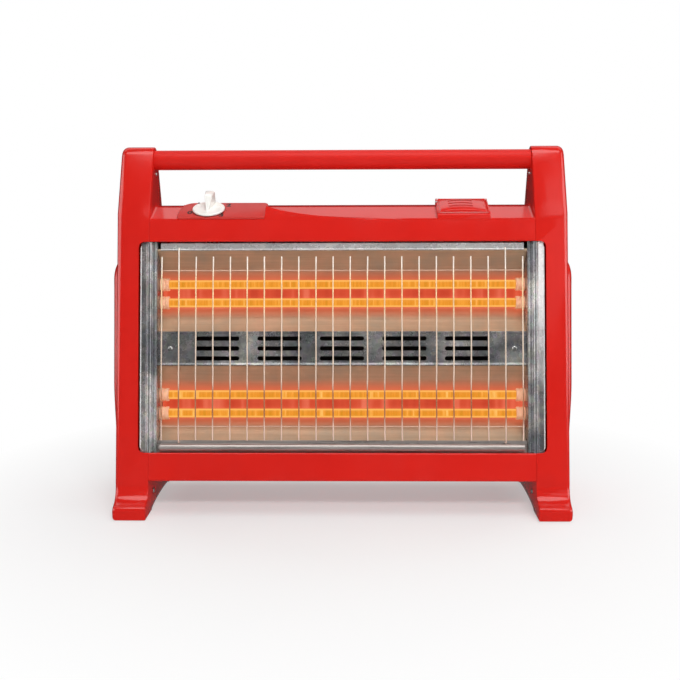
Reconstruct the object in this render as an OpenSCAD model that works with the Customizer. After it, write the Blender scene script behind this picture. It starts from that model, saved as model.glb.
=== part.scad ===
// Electric bar heater with four quartz tubes, a wire guard, a rotary switch and a humidifier.
// Units are mm. Z is up, the window faces -Y, the origin is on the floor under the middle.
// The housing leans back, so most of it is drawn in a leaned frame: x across, d into the
// housing from its front plane, s up along that plane. The sloping top has a frame of its
// own: x across, u up the slope, v away from it.

/* [Columns and feet] */
// Distance between the inner faces of the two side columns
inner_w = 462; // [440:1:500]
// Thickness of a side column
column_w = 40; // [36:1:46]
// Depth of a foot from toe to heel
foot_depth = 190; // [180:1:210]
// Height of the handle's axis above the floor
handle_z = 420.5; // [415:0.5:430]
// Radius of the handle tube
handle_r = 12; // [10:0.5:13]

/* [Housing] */
// Angle the housing leans back
lean = 10.8; // [8:0.2:12]
// Height of the housing's bottom edge above the floor
body_z = 42; // [38:1:46]
// Slope of the control panel
slope = 22; // [20:1:24]

/* [Heating] */
// Radius of a quartz tube
tube_r = 6; // [5:0.5:6.5]
// Distance between the two tubes of a pair
tube_pitch = 22.4; // [20:0.2:25]
// Distance between neighbouring guard wires
wire_pitch = 20.6; // [19:0.1:20.8]

/* [Hidden] */
$fn = 48;

// columns
inner_x = inner_w / 2;
outer_x = inner_x + column_w;
plate_t = 3;
rim_t = 6;
pocket_x = inner_x + plate_t;
toe_y = -foot_depth / 2;
heel_y = foot_depth / 2;
toe_h = 17;
pad_h = 1;
arch_h = 5;
crown_r = 16;
bulge = 8;
bulge_z = handle_z - 150.5;
socket = 12;

// housing
body_y = toe_y + 23;
handle_y = body_y + 107;
rear_y = heel_y - 31;
steel = 1.2;
body_s = handle_z - 107.5;
window_s0 = 33.6;
window_s1 = body_s - 26.4;
window_x = inner_x + 13;
mid_s = (window_s0 + window_s1) / 2 - 1.6;
cheek_x = inner_x - 9;
cheek_d = 46;
flange_d = 4;
flange_out = 4.5;

// control panel and top
cover_t = 2.6;
slope_len = 37;
cover_top = lean_z(0, body_s) + slope_len * sin(slope) + 1.7;
rear_top = cover_top - 19;
knee_z = cover_top - 9;
knob_x = -162;
knob_u = 21.3;
knob_r = 19.6;
knob_turn = 184;
spindle_r = 3;
bezel_x0 = -199;
bezel_x1 = -91;
bezel_t = 3;
bezel_u = 44;
bushing_r = 4.8;
switch_depth = 24;
switch_tag = 6;
feed_x = knob_x + 13;
feed_u = knob_u + 8;

// humidifier
pod_x0 = 112;
pod_x1 = 180;
pod_x = (pod_x0 + pod_x1) / 2;
well_x0 = pod_x0 + 5;
well_x1 = pod_x1 - 5;
well_u0 = 7;
well_u1 = 38;
rim_v = 5;
tank_gap = 0.4;
tank_v = -22;
lid_v = rim_v + 3.7;
hinge_u = well_u1 + 3.6;
hinge_v = rim_v + 2.2;
pin_r = 0.8;

// heating
tube_d = 26;
pair_rise = (window_s1 - window_s0) / 2 - 59.2;
trough_d = 42;
sheet = 0.8;
panel_d = 13;
panel_half = 21;
cap_r = 8;
cap_neck = tube_r + 1.5;
cap_in = 11;
cap_out = 7;
terminal_out = cap_out + 10;
coil_r = 3.4;
tubes = [mid_s + pair_rise + tube_pitch / 2, mid_s + pair_rise - tube_pitch / 2,
  mid_s - pair_rise + tube_pitch / 2, mid_s - pair_rise - tube_pitch / 2];

// guard
wires = 22;
wire_r = 0.8;
cross_r = 1;
wire_d = 2.6;
wire_half = (window_s1 - window_s0) / 2 - 16.3;
cross_rise = wire_half - 16.7;
hook_top = window_s1 - 7.6;
hook_low = window_s0 + 11.9;

// strip over the window opening and rolled rail under it
strip_low = hook_top - 3;
rail_r = 4.1;
rail_d = 6;
rail_s = window_s0 + 6.1;
rail_back_top = hook_low + 2.5;

// safety switch, terminal block and supply
floor_z = body_z + 2 * steel;
block_x = 150;
block_y = rear_y - 26;
cord_x = 185;
cord_z = 76;
cord_r = 4;
tip_x = -120;
tip_y = rear_y - 40;
tip_axis = 46;
lead_r = 1.3;
clamp_step = 11;
tip_tag = 17.5;

// ---------- frames and helpers ----------

function lean_y(d, s) = body_y + d * cos(lean) + s * sin(lean);
function lean_z(d, s) = body_z + s * cos(lean) - d * sin(lean);
function lean_yz(d, s) = [lean_y(d, s), lean_z(d, s)];
function to_lean(p) = [(p[0] - body_y) * cos(lean) - (p[1] - body_z) * sin(lean),
  (p[0] - body_y) * sin(lean) + (p[1] - body_z) * cos(lean)];
function front_y(z) = body_y + (z - body_z) * tan(lean);
function oval(c, a, b, a0, a1, n) = [for (k = [0 : n]) let(t = a0 + (a1 - a0) * k / n)
  c + [a * cos(t), b * sin(t)]];
function arc(c, r, a0, a1, n) = oval(c, r, r, a0, a1, n);

slope_y = lean_y(0, body_s);
slope_z = lean_z(0, body_s);
function slope_yz(u, v) = [slope_y + u * cos(slope) - v * sin(slope),
  slope_z + u * sin(slope) + v * cos(slope)];

// a (y, z) outline drawn out along x
module across(x0, x1) translate([x0, 0, 0]) rotate([90, 0, 90]) linear_extrude(x1 - x0) children();

// an (x, z) outline drawn out along y
module facing(y0, y1) translate([0, y1, 0]) rotate([90, 0, 0]) linear_extrude(y1 - y0) children();

module leaned() translate([0, body_y, body_z]) rotate([-lean, 0, 0]) children();

module on_slope() translate([0, slope_y, slope_z]) rotate([slope, 0, 0]) children();

module other_side() mirror([1, 0, 0]) children();

// a box between two corners
module block(a, b) translate(a) cube(b - a);

// a round bar along x, along y or along z
module bar_x(x0, x1, y, z, r) translate([x0, y, z]) rotate([0, 90, 0]) cylinder(r = r, h = x1 - x0);
module bar_y(y0, y1, x, z, r) translate([x, y1, z]) rotate([90, 0, 0]) cylinder(r = r, h = y1 - y0);
module bar_z(z0, z1, x, y, r) translate([x, y, z0]) cylinder(r = r, h = z1 - z0);

// a round bar between any two points
module rod(p, q, r) {
  w = q - p;
  h = norm(w);
  translate(p) rotate([0, acos(w[2] / h), atan2(w[1], w[0])]) cylinder(r = r, h = h, $fn = 24);
}

// an insulated lead through a list of points, with a ball at every bend
module lead(points) {
  for (k = [0 : len(points) - 2]) rod(points[k], points[k + 1], lead_r);
  for (k = [1 : 1 : len(points) - 2]) translate(points[k]) sphere(r = lead_r + 0.3, $fn = 24);
}

// ---------- columns ----------

// side outline of a column with its foot, drawn in by an inset
function column_outline(i) = concat(
  [[toe_y + i, pad_h + i]],
  arc([toe_y + 5 + i / 2, toe_h - 5 - i / 2], 5 - i / 2, 180, 100, 4),
  arc([front_y(39) - 22, 39], 22 + i, -80 + 1.7 * i, 0, 6),
  [[front_y(knee_z) + i, knee_z]],
  arc([handle_y, handle_z], crown_r - i, 155, 17, 12),
  [[handle_y + 18.5 - i, handle_z - 11.5], [handle_y + 32 - i, cover_top],
   [handle_y + 36 - i, cover_top - 20], [heel_y - 11 - i, 62]],
  arc([heel_y + 12, 40], 22 + i, 165, 180 + acos((12 + i) / (22 + i)), 5),
  [[heel_y - i, pad_h + i]],
  [[heel_y - 32, pad_h + i]],
  oval([0, pad_h + i], heel_y - 35, arch_h, 0, 180, 12));

// the two places where a screw holds the cover to the column
column_screw_at = [[toe_y + 50, 22], [handle_y - 0.5, handle_z - 16.5]];

module column() {
  color("firebrick") difference() {
    union() {
      difference() {
        across(inner_x, outer_x) polygon(column_outline(0));
        across(pocket_x, outer_x + 1) polygon(column_outline(rim_t));
      }
      // socket for the end of the handle tube
      difference() {
        bar_x(inner_x + 1, inner_x + socket + 6, handle_y, handle_z, crown_r - 2);
        bar_x(pocket_x, outer_x, column_screw_at[1][0], column_screw_at[1][1], 4);
      }
      // ledge that the rear panel is screwed to
      block([inner_x - 10, rear_y - 8, body_z + 20], [inner_x + 1, rear_y, rear_top - 8]);
    }
    bar_x(inner_x - 1, inner_x + socket, handle_y, handle_z, handle_r);
    top_corner();
    // front opening for the window, and the seat of the side plate behind it
    leaned() facing(-20, flange_d) window_edge(window_x);
    leaned() block([inner_x - 1, flange_d - 0.01, window_s0 - 3], [window_x + flange_out, 11, window_s1 + 3]);
    // inner face open behind the side plate, for the tube ends and leads
    leaned() block([inner_x - 1, 10, window_s0 + 6], [pocket_x + 0.5, 56, window_s1 - 2]);
    for (p = column_screw_at) bar_x(inner_x - 1, pocket_x + 1, p[0], p[1], 1.5);
    for (z = rear_screw_z) bar_y(rear_y - 7, rear_y + 1, inner_x - 5, z, 1.6);
    for (y = pad_y) bar_z(pad_h - 1, pad_h + 2, (inner_x + outer_x) / 2, y, 8);
  }
}

// what is cut away to round the outer top edge of a column
module top_corner() {
  r = 7;
  z = handle_z + crown_r - r;
  difference() {
    block([outer_x - r, -20, z], [outer_x + 1, 80, z + r + 1]);
    bar_y(-21, 81, outer_x - r, z, r);
  }
}

// half of the window's outline, rounded at its two outer corners
module window_edge(x) {
  r = 8;
  translate([inner_x - 1, window_s0]) square([x - inner_x + 1 - r, window_s1 - window_s0]);
  translate([inner_x - 1, window_s0 + r]) square([x - inner_x + 1, window_s1 - window_s0 - 2 * r]);
  for (s = [window_s0 + r, window_s1 - r]) translate([x - r, s]) circle(r);
}

// raised outer field, seen from the side and from the front, drawn in by an inset
function bulge_side(i) = concat(
  [[front_y(58) + 10 + i, 58 + i], [front_y(bulge_z) + 10 + i, bulge_z]],
  oval([(front_y(bulge_z) + heel_y - 23) / 2, bulge_z], (heel_y - 43 - front_y(bulge_z)) / 2 - i, 31 - i,
    180, 0, 14),
  [[heel_y - 33 - i, bulge_z], [heel_y - 25 - i, 58 + i]]);
function bulge_front(i) = concat(
  [[outer_x - 5, 50 + i], [outer_x + 0.6 - i, 56 + i], [outer_x + 6 - i, 110], [outer_x + bulge - i, 150]],
  oval([outer_x - i, bulge_z + 11], bulge, 20.5 - i, 0, 90, 8),
  [[outer_x - 5, bulge_z + 31.5 - i]]);
module bulge_shape(x0, i) {
  intersection() {
    across(x0, outer_x + bulge + 1) polygon(bulge_side(i));
    facing(-90, 90) polygon(bulge_front(i));
  }
}

module column_cover() {
  skin = 3;
  color("red") difference() {
    union() {
      across(outer_x - skin, outer_x) polygon(column_outline(rim_t));
      bulge_shape(outer_x - 1, 0);
      for (p = column_screw_at) bar_x(pocket_x, outer_x - 2, p[0], p[1], 3.8);
    }
    bulge_shape(outer_x - skin - 1, skin);
    for (p = column_screw_at) bar_x(pocket_x - 1, pocket_x + 15, p[0], p[1], 1.5);
    top_corner();
  }
}

module pan_screw_x(x, y, z, dir) {
  translate([x, y, z]) rotate([0, 90 * dir, 0]) {
    cylinder(r = 1.5, h = 17);
    translate([0, 0, -1.8]) cylinder(r1 = 2.2, r2 = 3, h = 1.8);
  }
}

module column_screws() {
  color("silver") for (dir = [-1, 1]) for (p = column_screw_at)
    pan_screw_x(dir * inner_x, p[0], p[1], dir);
}

module handle_tube() {
  color("red") difference() {
    bar_x(-inner_x - socket, inner_x + socket, handle_y, handle_z, handle_r);
    bar_x(-inner_x - socket - 1, inner_x + socket + 1, handle_y, handle_z, handle_r - 1.2);
  }
}

pad_y = [toe_y + 15, heel_y - 16];

module foot_pads() {
  color("dimgray") for (dir = [-1, 1]) for (y = pad_y)
    bar_z(0, pad_h + 2, dir * (inner_x + outer_x) / 2, y, 8);
}

// ---------- top cover and controls ----------

cover_back = rear_y + 2;
cover_outer = concat(
  [lean_yz(0, body_s), slope_yz(slope_len, 0)],
  [[cover_back - 30, cover_top - 0.3], [cover_back - 20, cover_top], [cover_back - 10, cover_top - 1.5],
   [cover_back - 3, cover_top - 5.5], [cover_back, cover_top - 11], [cover_back, rear_top]]);
cover_inner = concat(
  [[cover_back - 3.2, rear_top - 1], [cover_back - 3.2, cover_top - 12], [cover_back - 6, cover_top - 7],
   [cover_back - 12, cover_top - 4], [cover_back - 20, cover_top - cover_t],
   [cover_back - 29, cover_top - cover_t - 0.4]],
  [slope_yz(slope_len, -cover_t), slope_yz(9, -cover_t), lean_yz(6, body_s), lean_yz(6, body_s - 3)]);

// outline of the sweep that rises from the front face beside the bezel
sweep_x = [-91, -84, -76, -66, -52, -34, -12, 16, 44, 70];
sweep_rise = [14.5, 13.6, 11, 8.2, 5.6, 3.9, 2.5, 1.4, 0.7, 0.3];
sweep_end = sweep_x[len(sweep_x) - 1];
sweep = concat([[sweep_x[0], body_s]],
  [for (k = [0 : len(sweep_x) - 1]) [sweep_x[k], body_s + sweep_rise[k]]],
  [[sweep_end, body_s]]);

module top_cover() {
  color("crimson") difference() {
    union() {
      difference() {
        across(-inner_x, inner_x) polygon(cover_outer);
        across(-inner_x - 1, inner_x + 1) polygon(cover_inner);
      }
      // wedge that carries the back of the bezel
      across(bezel_x0 + 3, bezel_x1 - 3)
        polygon([slope_yz(slope_len - 7, -1), slope_yz(slope_len - 7, 0), slope_yz(bezel_u, 0),
          [slope_yz(bezel_u, 0)[0], cover_top - 2]]);
      // sweep beside the bezel
      intersection() {
        leaned() facing(0, 44) polygon(sweep);
        across(sweep_x[0], sweep_end)
          polygon([slope_yz(0, -1), slope_yz(40, -1), slope_yz(40, 20), slope_yz(-20, 20)]);
      }
      // collar of the humidifier well
      intersection() {
        on_slope() block([pod_x0, -6, -1], [pod_x1, well_u1 + 6, rim_v]);
        leaned() block([pod_x0 - 1, 0, body_s], [pod_x1 + 1, 60, body_s + 40]);
      }
      // fillets at the ends, where the cover flares into the columns
      for (dir = [-1, 1]) end_fillet(dir);
    }
    on_slope() {
      bar_z(-cover_t - 1, 1, knob_x, knob_u, bushing_r);
      block([well_x0, well_u0, -cover_t - 2], [well_x1, well_u1, rim_v + 1]);
    }
  }
}

module end_fillet(dir) {
  r = 9;
  on_slope() translate([dir * inner_x, 1, 0]) rotate([-90, 0, 0]) linear_extrude(35) difference() {
    polygon([[0, 0.5], [0, -r], [-dir * r, -r], [-dir * r, 0.5]]);
    translate([-dir * r, -r]) circle(r);
    translate([-dir * r - 1, -r - 1]) square([2, r * 2 - 7]);
  }
}

module control_bezel() {
  color("indianred") on_slope() difference() {
    linear_extrude(bezel_t) polygon(concat(
      [[bezel_x0, 0.8], [bezel_x0 + 1, 10]],
      oval([bezel_x0 + 12, bezel_u - 18], 10, 18, 170, 90, 7),
      arc([bezel_x1 - 6, bezel_u - 6], 6, 90, 0, 6),
      [[bezel_x1, 0.8]]));
    bar_z(-1, bezel_t + 1, knob_x, knob_u, 7.5);
  }
}

module knob() {
  color("ivory") on_slope() translate([knob_x, knob_u, 0]) rotate([0, 0, -knob_turn]) difference() {
    union() {
      translate([0, 0, bezel_t + 0.4]) cylinder(r1 = knob_r, r2 = knob_r - 0.6, h = 2.8, $fn = 64);
      // grip: a wedge, wide and tall at the back, that falls and narrows towards its pointer
      hull() {
        translate([0, 9.5, bezel_t + 2]) cylinder(r = 2, h = 2, $fn = 24);
        translate([0, -11, bezel_t + 2]) cylinder(r = 6, h = 2, $fn = 24);
        translate([0, -1.5, bezel_t + 16]) cylinder(r = 5, h = 3.4, $fn = 24);
        translate([0, -11, bezel_t + 16]) cylinder(r = 5.6, h = 3.4, $fn = 24);
      }
    }
    bar_z(0, bezel_t + 10, 0, 0, spindle_r);
  }
}

module switch_spindle() {
  color("silver") on_slope() bar_z(5 - switch_depth, bezel_t + 10, knob_x, knob_u, spindle_r);
}

module switch_body() {
  color("beige") on_slope() difference() {
    union() {
      block([knob_x - 15, knob_u - 12, -switch_depth], [knob_x + 15, knob_u + 13, -cover_t]);
      bar_z(-cover_t - 1, 2.7, knob_x, knob_u, bushing_r);
      for (k = [-1.5 : 1 : 1.5]) switch_tag_at(knob_x + 6 * k, knob_u);
      switch_tag_at(feed_x, feed_u);
    }
    bar_z(4 - switch_depth, 3, knob_x, knob_u, spindle_r + 0.05);
  }
}

// one solder tag under the switch
module switch_tag_at(x, u) {
  block([x - 1.6, u - 2, -switch_depth - switch_tag], [x + 1.6, u + 2, -switch_depth + 1]);
}

module switch_nut() {
  color("silver") on_slope() difference() {
    translate([knob_x, knob_u, 0]) cylinder(r = 6.8, h = 2.2, $fn = 6);
    bar_z(-1, 4, knob_x, knob_u, bushing_r);
  }
}

// ---------- humidifier ----------

lid_x0 = pod_x0 + 0.3;
lid_x1 = pod_x1 - 0.3;

module humidifier_lid() {
  skirt = 1.6;
  low = rim_v + 0.3;
  crown = 400;
  color("tomato") difference() {
    intersection() {
      leaned() block([pod_x0 - 1, 0.4, body_s - 10], [pod_x1 + 1, 60, body_s + 60]);
      on_slope() union() {
        intersection() {
          block([lid_x0, -6, low], [lid_x1, well_u1 + 1.4, lid_v + 1]);
          bar_y(-8, 60, pod_x, lid_v - crown, crown, $fn = 720);
        }
        block([well_x0 + 0.3, well_u1, hinge_v - 0.4], [well_x1 - 0.3, hinge_u, hinge_v + 1.2]);
        bar_x(well_x0 + 0.3, well_x1 - 0.3, hinge_u, hinge_v, 1.7);
      }
    }
    on_slope() {
      block([lid_x0 + skirt, well_u0 - skirt, low - 1], [lid_x1 - skirt, well_u1 + 2.5, hinge_v - 0.4]);
      bar_x(pod_x0, pod_x1, hinge_u, hinge_v, pin_r + 0.05);
      // three steam slots
      for (k = [1 : 3]) translate([0, 0, low - 2]) linear_extrude(8)
        slot_outline(pod_x, well_u0 + 8 * k, pod_x1 - pod_x0 - 35, 2.6);
      // finger notch at the front left corner
      block([lid_x0 + 4, -6, low - 1], [lid_x0 + 11, 4.6, low + 1.2]);
    }
  }
}

module lid_hinge_pin() {
  color("silver") on_slope() bar_x(well_x0 - 2.5, well_x1 + 2.5, hinge_u, hinge_v, pin_r);
}

module water_tank() {
  wall = 1.2;
  x0 = well_x0 + tank_gap;
  x1 = well_x1 - tank_gap;
  u0 = well_u0 + tank_gap;
  u1 = well_u1 - tank_gap;
  color("lightgray") on_slope() difference() {
    union() {
      block([x0, u0, tank_v], [x1, u1, rim_v + wall]);
      block([well_x0 - 1, well_u0 - 1, rim_v], [well_x1 + 1, well_u1 + 1.2, rim_v + wall]);
      for (x = [well_x0 - 2.5, well_x1]) {
        block([x, well_u1 - 1, rim_v], [x + 2.5, hinge_u + 1.7, rim_v + wall]);
        block([x, well_u1 + 1.8, rim_v], [x + 2.5, hinge_u + 1.7, hinge_v]);
        bar_x(x, x + 2.5, hinge_u, hinge_v, 1.7);
      }
    }
    block([x0 + wall, u0 + wall, tank_v + wall], [x1 - wall, u1 - wall, rim_v + wall + 1]);
    bar_x(pod_x0, pod_x1, hinge_u, hinge_v, pin_r);
  }
}

// ---------- housing ----------

module upper_fascia() {
  s0 = window_s1;
  color("red") leaned() {
    difference() {
      block([-inner_x, 0, s0], [inner_x, 6, body_s]);
      block([-inner_x - 1, steel, s0 + steel], [inner_x + 1, 7, body_s - steel]);
      block([-inner_x - 1, flange_d, s0 - 1], [inner_x + 1, 7, s0 + steel + 1]);
    }
  }
}

module lower_fascia() {
  s1 = window_s0;
  color("red") {
    leaned() {
      block([-inner_x, 0, 0], [inner_x, steel, s1]);
      block([-inner_x, 0, s1 - steel], [inner_x, 10.2, s1]);
      // rolled lip along the bottom edge
      bar_x(-inner_x, inner_x, 1.2, 1.2, 1.8);
    }
    block([-inner_x, body_y + 1.5, body_z], [inner_x, body_y + 14, body_z + steel]);
  }
}

vent_rows = [[238, 5], [252, 5], [266, 5], [96, 5], [110, 5]];
rear_screw_z = [body_z + 38, 205, rear_top - 21];

module rear_panel() {
  color("red") difference() {
    block([-inner_x, rear_y, body_z + steel], [inner_x, rear_y + steel, rear_top]);
    for (row = vent_rows) for (k = [-3 : 3])
      facing(rear_y - 1, rear_y + 3) slot_outline(56 * k, row[0], 40, row[1]);
    for (dir = [-1, 1]) for (z = rear_screw_z)
      bar_y(rear_y - 1, rear_y + 3, dir * (inner_x - 5), z, 1.6);
    bar_y(rear_y - 1, rear_y + 3, cord_x, cord_z, cord_r + 2.5);
  }
}

module rear_screws() {
  color("silver") for (dir = [-1, 1]) for (z = rear_screw_z)
    translate([dir * (inner_x - 5), rear_y + steel, z]) rotate([90, 0, 0]) {
      cylinder(r = 1.6, h = 8);
      translate([0, 0, -2]) cylinder(r1 = 2.4, r2 = 3.4, h = 2);
    }
}

// lies on the lower fascia's bottom flange and turns up along the rear panel
module bottom_panel() {
  z = body_z + steel;
  color("firebrick") difference() {
    union() {
      block([-inner_x, body_y + 4, z], [inner_x, rear_y, z + steel]);
      block([-inner_x, rear_y - steel, z], [inner_x, rear_y, body_z + 19]);
    }
    for (k = [-6 : 6]) block([30 * k - 3, -20, z - 1], [30 * k + 3, 10, z + 3]);
  }
}

// obround outline lying along x
module slot_outline(x, z, w, h) {
  translate([x - w / 2 + h / 2, z - h / 2]) square([w - h, h]);
  for (dir = [-1, 1]) translate([x + dir * (w - h) / 2, z]) circle(h / 2, $fn = 24);
}

// ---------- window parts ----------

module cheek() {
  color("lightsteelblue") leaned() difference() {
    union() {
      block([cheek_x, flange_d, window_s0], [cheek_x + steel, cheek_d, window_s1 + 0.5]);
      block([cheek_x, flange_d, window_s0], [window_x + flange_out, flange_d + 1, window_s1 + 0.5]);
      // bead pressed into the front flange
      bar_z(window_s0, window_s1, inner_x - 3, flange_d + 0.8, 1.6);
    }
    for (s = tubes) bar_x(cheek_x - 1, cheek_x + 2, tube_d, s, cap_neck);
    block([cheek_x + steel, flange_d + 1, window_s0 - 1], [inner_x + 3, flange_d + 4, window_s1 + 1]);
  }
}

module top_strip() {
  color("silver") leaned() difference() {
    block([-cheek_x, flange_d, strip_low], [cheek_x, flange_d + 1, window_s1 + 4]);
    for (x = hooked_x) bar_y(flange_d - 1, flange_d + 2, x, hook_top, wire_r);
  }
}

module bottom_rail() {
  color("white") leaned() difference() {
    union() {
      bar_x(-cheek_x + 4, cheek_x - 4, rail_d, rail_s, rail_r);
      block([-cheek_x + 4, rail_d, rail_s - 3.7], [cheek_x - 4, 9.5, rail_s - 1.7]);
      block([-cheek_x, 9, window_s0], [cheek_x, 10.2, rail_back_top]);
    }
    for (x = hooked_x) bar_y(8, 11, x, hook_low, wire_r);
  }
}

// depth of a trough at height s: near the front at its outer edge, deeper at its inner edge
function trough_rim(out) = out > 0 ? flange_d + 1 : panel_d + 1;
function trough(s, c, half, outer) = trough_d
  - (trough_d - trough_rim((s - c) * outer)) * pow(abs(s - c) / half, 2);

module reflector(c, half, outer, lip_d) {
  n = 18;
  ss = [for (k = [0 : n]) c - half + 2 * half * k / n];
  leaned() across(-cheek_x, cheek_x) polygon(concat(
    [for (s = ss) [max(trough(s, c, half, outer), lip_d(s)), s]],
    [for (k = [n : -1 : 0]) [max(trough(ss[k], c, half, outer), lip_d(ss[k])) + sheet, ss[k]]]));
}

module upper_reflector() {
  s0 = mid_s + panel_half;
  s1 = strip_low;
  color("tan") {
    reflector((s0 + s1) / 2, (s1 - s0) / 2, 1, function (s) s > (s0 + s1) / 2 ? flange_d + 1 : panel_d + 1);
    leaned() block([-cheek_x, flange_d + 1, s1], [cheek_x, flange_d + 1 + sheet, s1 + 2.4]);
    leaned() block([-cheek_x, panel_d + 1, s0 - 5], [cheek_x, panel_d + 1 + sheet, s0]);
  }
}

module lower_reflector() {
  s0 = rail_s + 1.3;
  s1 = mid_s - panel_half;
  color("tan") {
    reflector((s0 + s1) / 2, (s1 - s0) / 2, -1, function (s) s < (s0 + s1) / 2 ? 10.2 : panel_d + 1);
    leaned() block([-cheek_x, 10.2, s0 - 4], [cheek_x, 10.2 + sheet, s0]);
    leaned() block([-cheek_x, panel_d + 1, s1], [cheek_x, panel_d + 1 + sheet, s1 + 5]);
  }
}

module centre_panel() {
  color("slategray") leaned() difference() {
    union() {
      block([-cheek_x, panel_d, mid_s - panel_half], [cheek_x, panel_d + 1, mid_s + panel_half]);
      for (dir = [-1, 1]) block([-cheek_x, panel_d - 1.6, mid_s + dir * (panel_half - 0.6) - 0.6],
        [cheek_x, panel_d, mid_s + dir * (panel_half - 0.6) + 0.6]);
    }
    for (g = [-2 : 2]) for (row = [-1 : 1])
      facing(panel_d - 1, panel_d + 2) slot_outline(g * 75.4, mid_s + 12 * row, 52, 5);
    for (dir = [-1, 1]) bar_y(panel_d - 1, panel_d + 2, dir * 208, mid_s, 1.5);
  }
}

module panel_screws() {
  color("silver") leaned() for (dir = [-1, 1]) translate([dir * 208, panel_d, mid_s]) rotate([-90, 0, 0]) {
    cylinder(r = 1.5, h = 7);
    translate([0, 0, -1.8]) cylinder(r1 = 2.2, r2 = 3.2, h = 1.8);
  }
}

// ---------- tubes ----------

module quartz_tube(k) {
  color("orange") leaned() difference() {
    bar_x(-cheek_x + 1, cheek_x - 1, tube_d, tubes[k], tube_r);
    bar_x(-cheek_x, cheek_x, tube_d, tubes[k], tube_r - 1.3);
  }
}

module heating_coil(k) {
  color("gold") leaned() bar_x(-cheek_x + 8, cheek_x - 8, tube_d, tubes[k], coil_r);
}

// ceramic caps: the neck sits in the side plate, a collar stands on each side of it
module end_caps() {
  color("mistyrose") leaned() for (s = tubes) difference() {
    union() {
      bar_x(cheek_x - cap_in, cheek_x, tube_d, s, cap_r);
      bar_x(cheek_x - 1, cheek_x + steel + 1, tube_d, s, cap_neck);
      bar_x(cheek_x + steel, cheek_x + cap_out, tube_d, s, cap_r);
    }
    bar_x(cheek_x - cap_in - 1, cheek_x - 1, tube_d, s, tube_r);
    bar_x(cheek_x - 2, cheek_x + cap_out + 1, tube_d, s, 1.5);
  }
}

module terminals() {
  color("silver") leaned() for (s = tubes) {
    bar_x(cheek_x - 8, cheek_x + cap_out + 4, tube_d, s, 1.5);
    block([cheek_x + cap_out + 3, tube_d - 3, s - 1.8], [cheek_x + terminal_out, tube_d + 3, s + 1.8]);
  }
}

// ---------- guard ----------

hooked_x = [-(wires / 2 - 1.5) * wire_pitch, (wires / 2 - 1.5) * wire_pitch];

module guard_uprights() {
  color("white") leaned() for (k = [0 : wires - 1]) {
    x = (k - (wires - 1) / 2) * wire_pitch;
    if (abs(abs(x) - hooked_x[1]) < 1) {
      bar_z(hook_low, hook_top, x, wire_d, wire_r);
      for (end = [[hook_low, 10.2], [hook_top, flange_d + 1]]) {
        translate([x, wire_d, end[0]]) sphere(wire_r + 0.15);
        bar_y(wire_d, end[1], x, end[0], wire_r);
      }
    } else bar_z(mid_s - wire_half, mid_s + wire_half, x, wire_d, wire_r);
  }
}

module guard_cross_wires() {
  x = (wires - 1) / 2 * wire_pitch + 1;
  color("white") leaned() for (dir = [-1, 1])
    bar_x(-x, x, wire_d + wire_r + cross_r - 0.05, mid_s + dir * cross_rise, cross_r);
}

// ---------- electrical parts inside ----------

module terminal_block() {
  z = floor_z;
  color("ivory") difference() {
    block([block_x - 24, block_y - 9, z], [block_x + 24, block_y + 9, z + 16]);
    for (k = [-1.5 : 1 : 1.5]) {
      bar_y(block_y - 10, block_y + 10, block_x + clamp_step * k, z + 6, lead_r + 0.3);
      bar_z(z + 10, z + 17, block_x + clamp_step * k, block_y, 2.2);
    }
  }
}

module thermal_cutout() {
  color("dimgray") leaned() {
    bar_y(panel_d + 1, panel_d + 10, 185, mid_s, 7.5);
    for (dir = [-1, 1]) block([185 + 3.5 * dir - 1.5, panel_d + 9, mid_s - 0.5],
      [185 + 3.5 * dir + 1.5, panel_d + 18, mid_s + 0.5]);
  }
}

// one lead from each left terminal, behind the side plate and up to the switch
module switched_leads() {
  x = -(cheek_x + terminal_out + lead_r);
  tag = to_lean(slope_yz(knob_u, -switch_depth - switch_tag - 0.5));
  color("white") leaned() for (k = [0 : 3]) {
    inner = -(cheek_x - 8 - 5 * k);
    end = knob_x + 6 * (k - 1.5);
    top = window_s1 + 5.4 - 4 * k;
    lead([[x, tube_d, tubes[k]], [x, 50, tubes[k]], [inner, 50, tubes[k]], [inner, 50, top],
      [end, 50, top], [end, tag[0], tag[1] - 1]]);
  }
}

// one lead that joins the four right terminals and runs down to the terminal block
module common_lead() {
  x = cheek_x + terminal_out + lead_r;
  side = cheek_x - 8;
  clamp = block_x + 1.5 * clamp_step;
  near = to_lean([block_y - 20, floor_z + 6]);
  entry = to_lean([block_y - 9.2, floor_z + 6]);
  color("white") leaned() lead([[x, tube_d, tubes[0]], [x, tube_d, tubes[3]], [x, 52, tubes[3]],
    [side, 52, tubes[3]], [side, near[0], near[1]], [clamp, near[0], near[1]], [clamp, entry[0], entry[1]]]);
}

// supply: from the terminal block to the safety switch, and from there up to the rotary switch
module supply_leads() {
  clamp = block_x - 1.5 * clamp_step;
  z = floor_z + 6;
  tag_x = tip_x + tip_tag;
  tag_z = floor_z + 28.2;
  feed = slope_yz(feed_u, -switch_depth - switch_tag - 0.2);
  color("saddlebrown") {
    lead([[clamp, block_y - 9.2, z], [clamp, block_y - 20, z], [tag_x + 12, block_y - 20, z],
      [tag_x + 12, tip_y - 6, tag_z + 6], [tag_x, tip_y - 6, tag_z + 6], [tag_x, tip_y - 6, tag_z]]);
    lead([[tag_x, tip_y + 6, tag_z], [tag_x, tip_y + 6, tag_z + 6], [tag_x, rear_y - 16, tag_z + 16],
      [tag_x, rear_y - 16, feed[1] - 12], [feed_x, rear_y - 16, feed[1] - 12], [feed_x, feed[0], feed[1] - 6],
      [feed_x, feed[0], feed[1]]]);
  }
}

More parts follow.
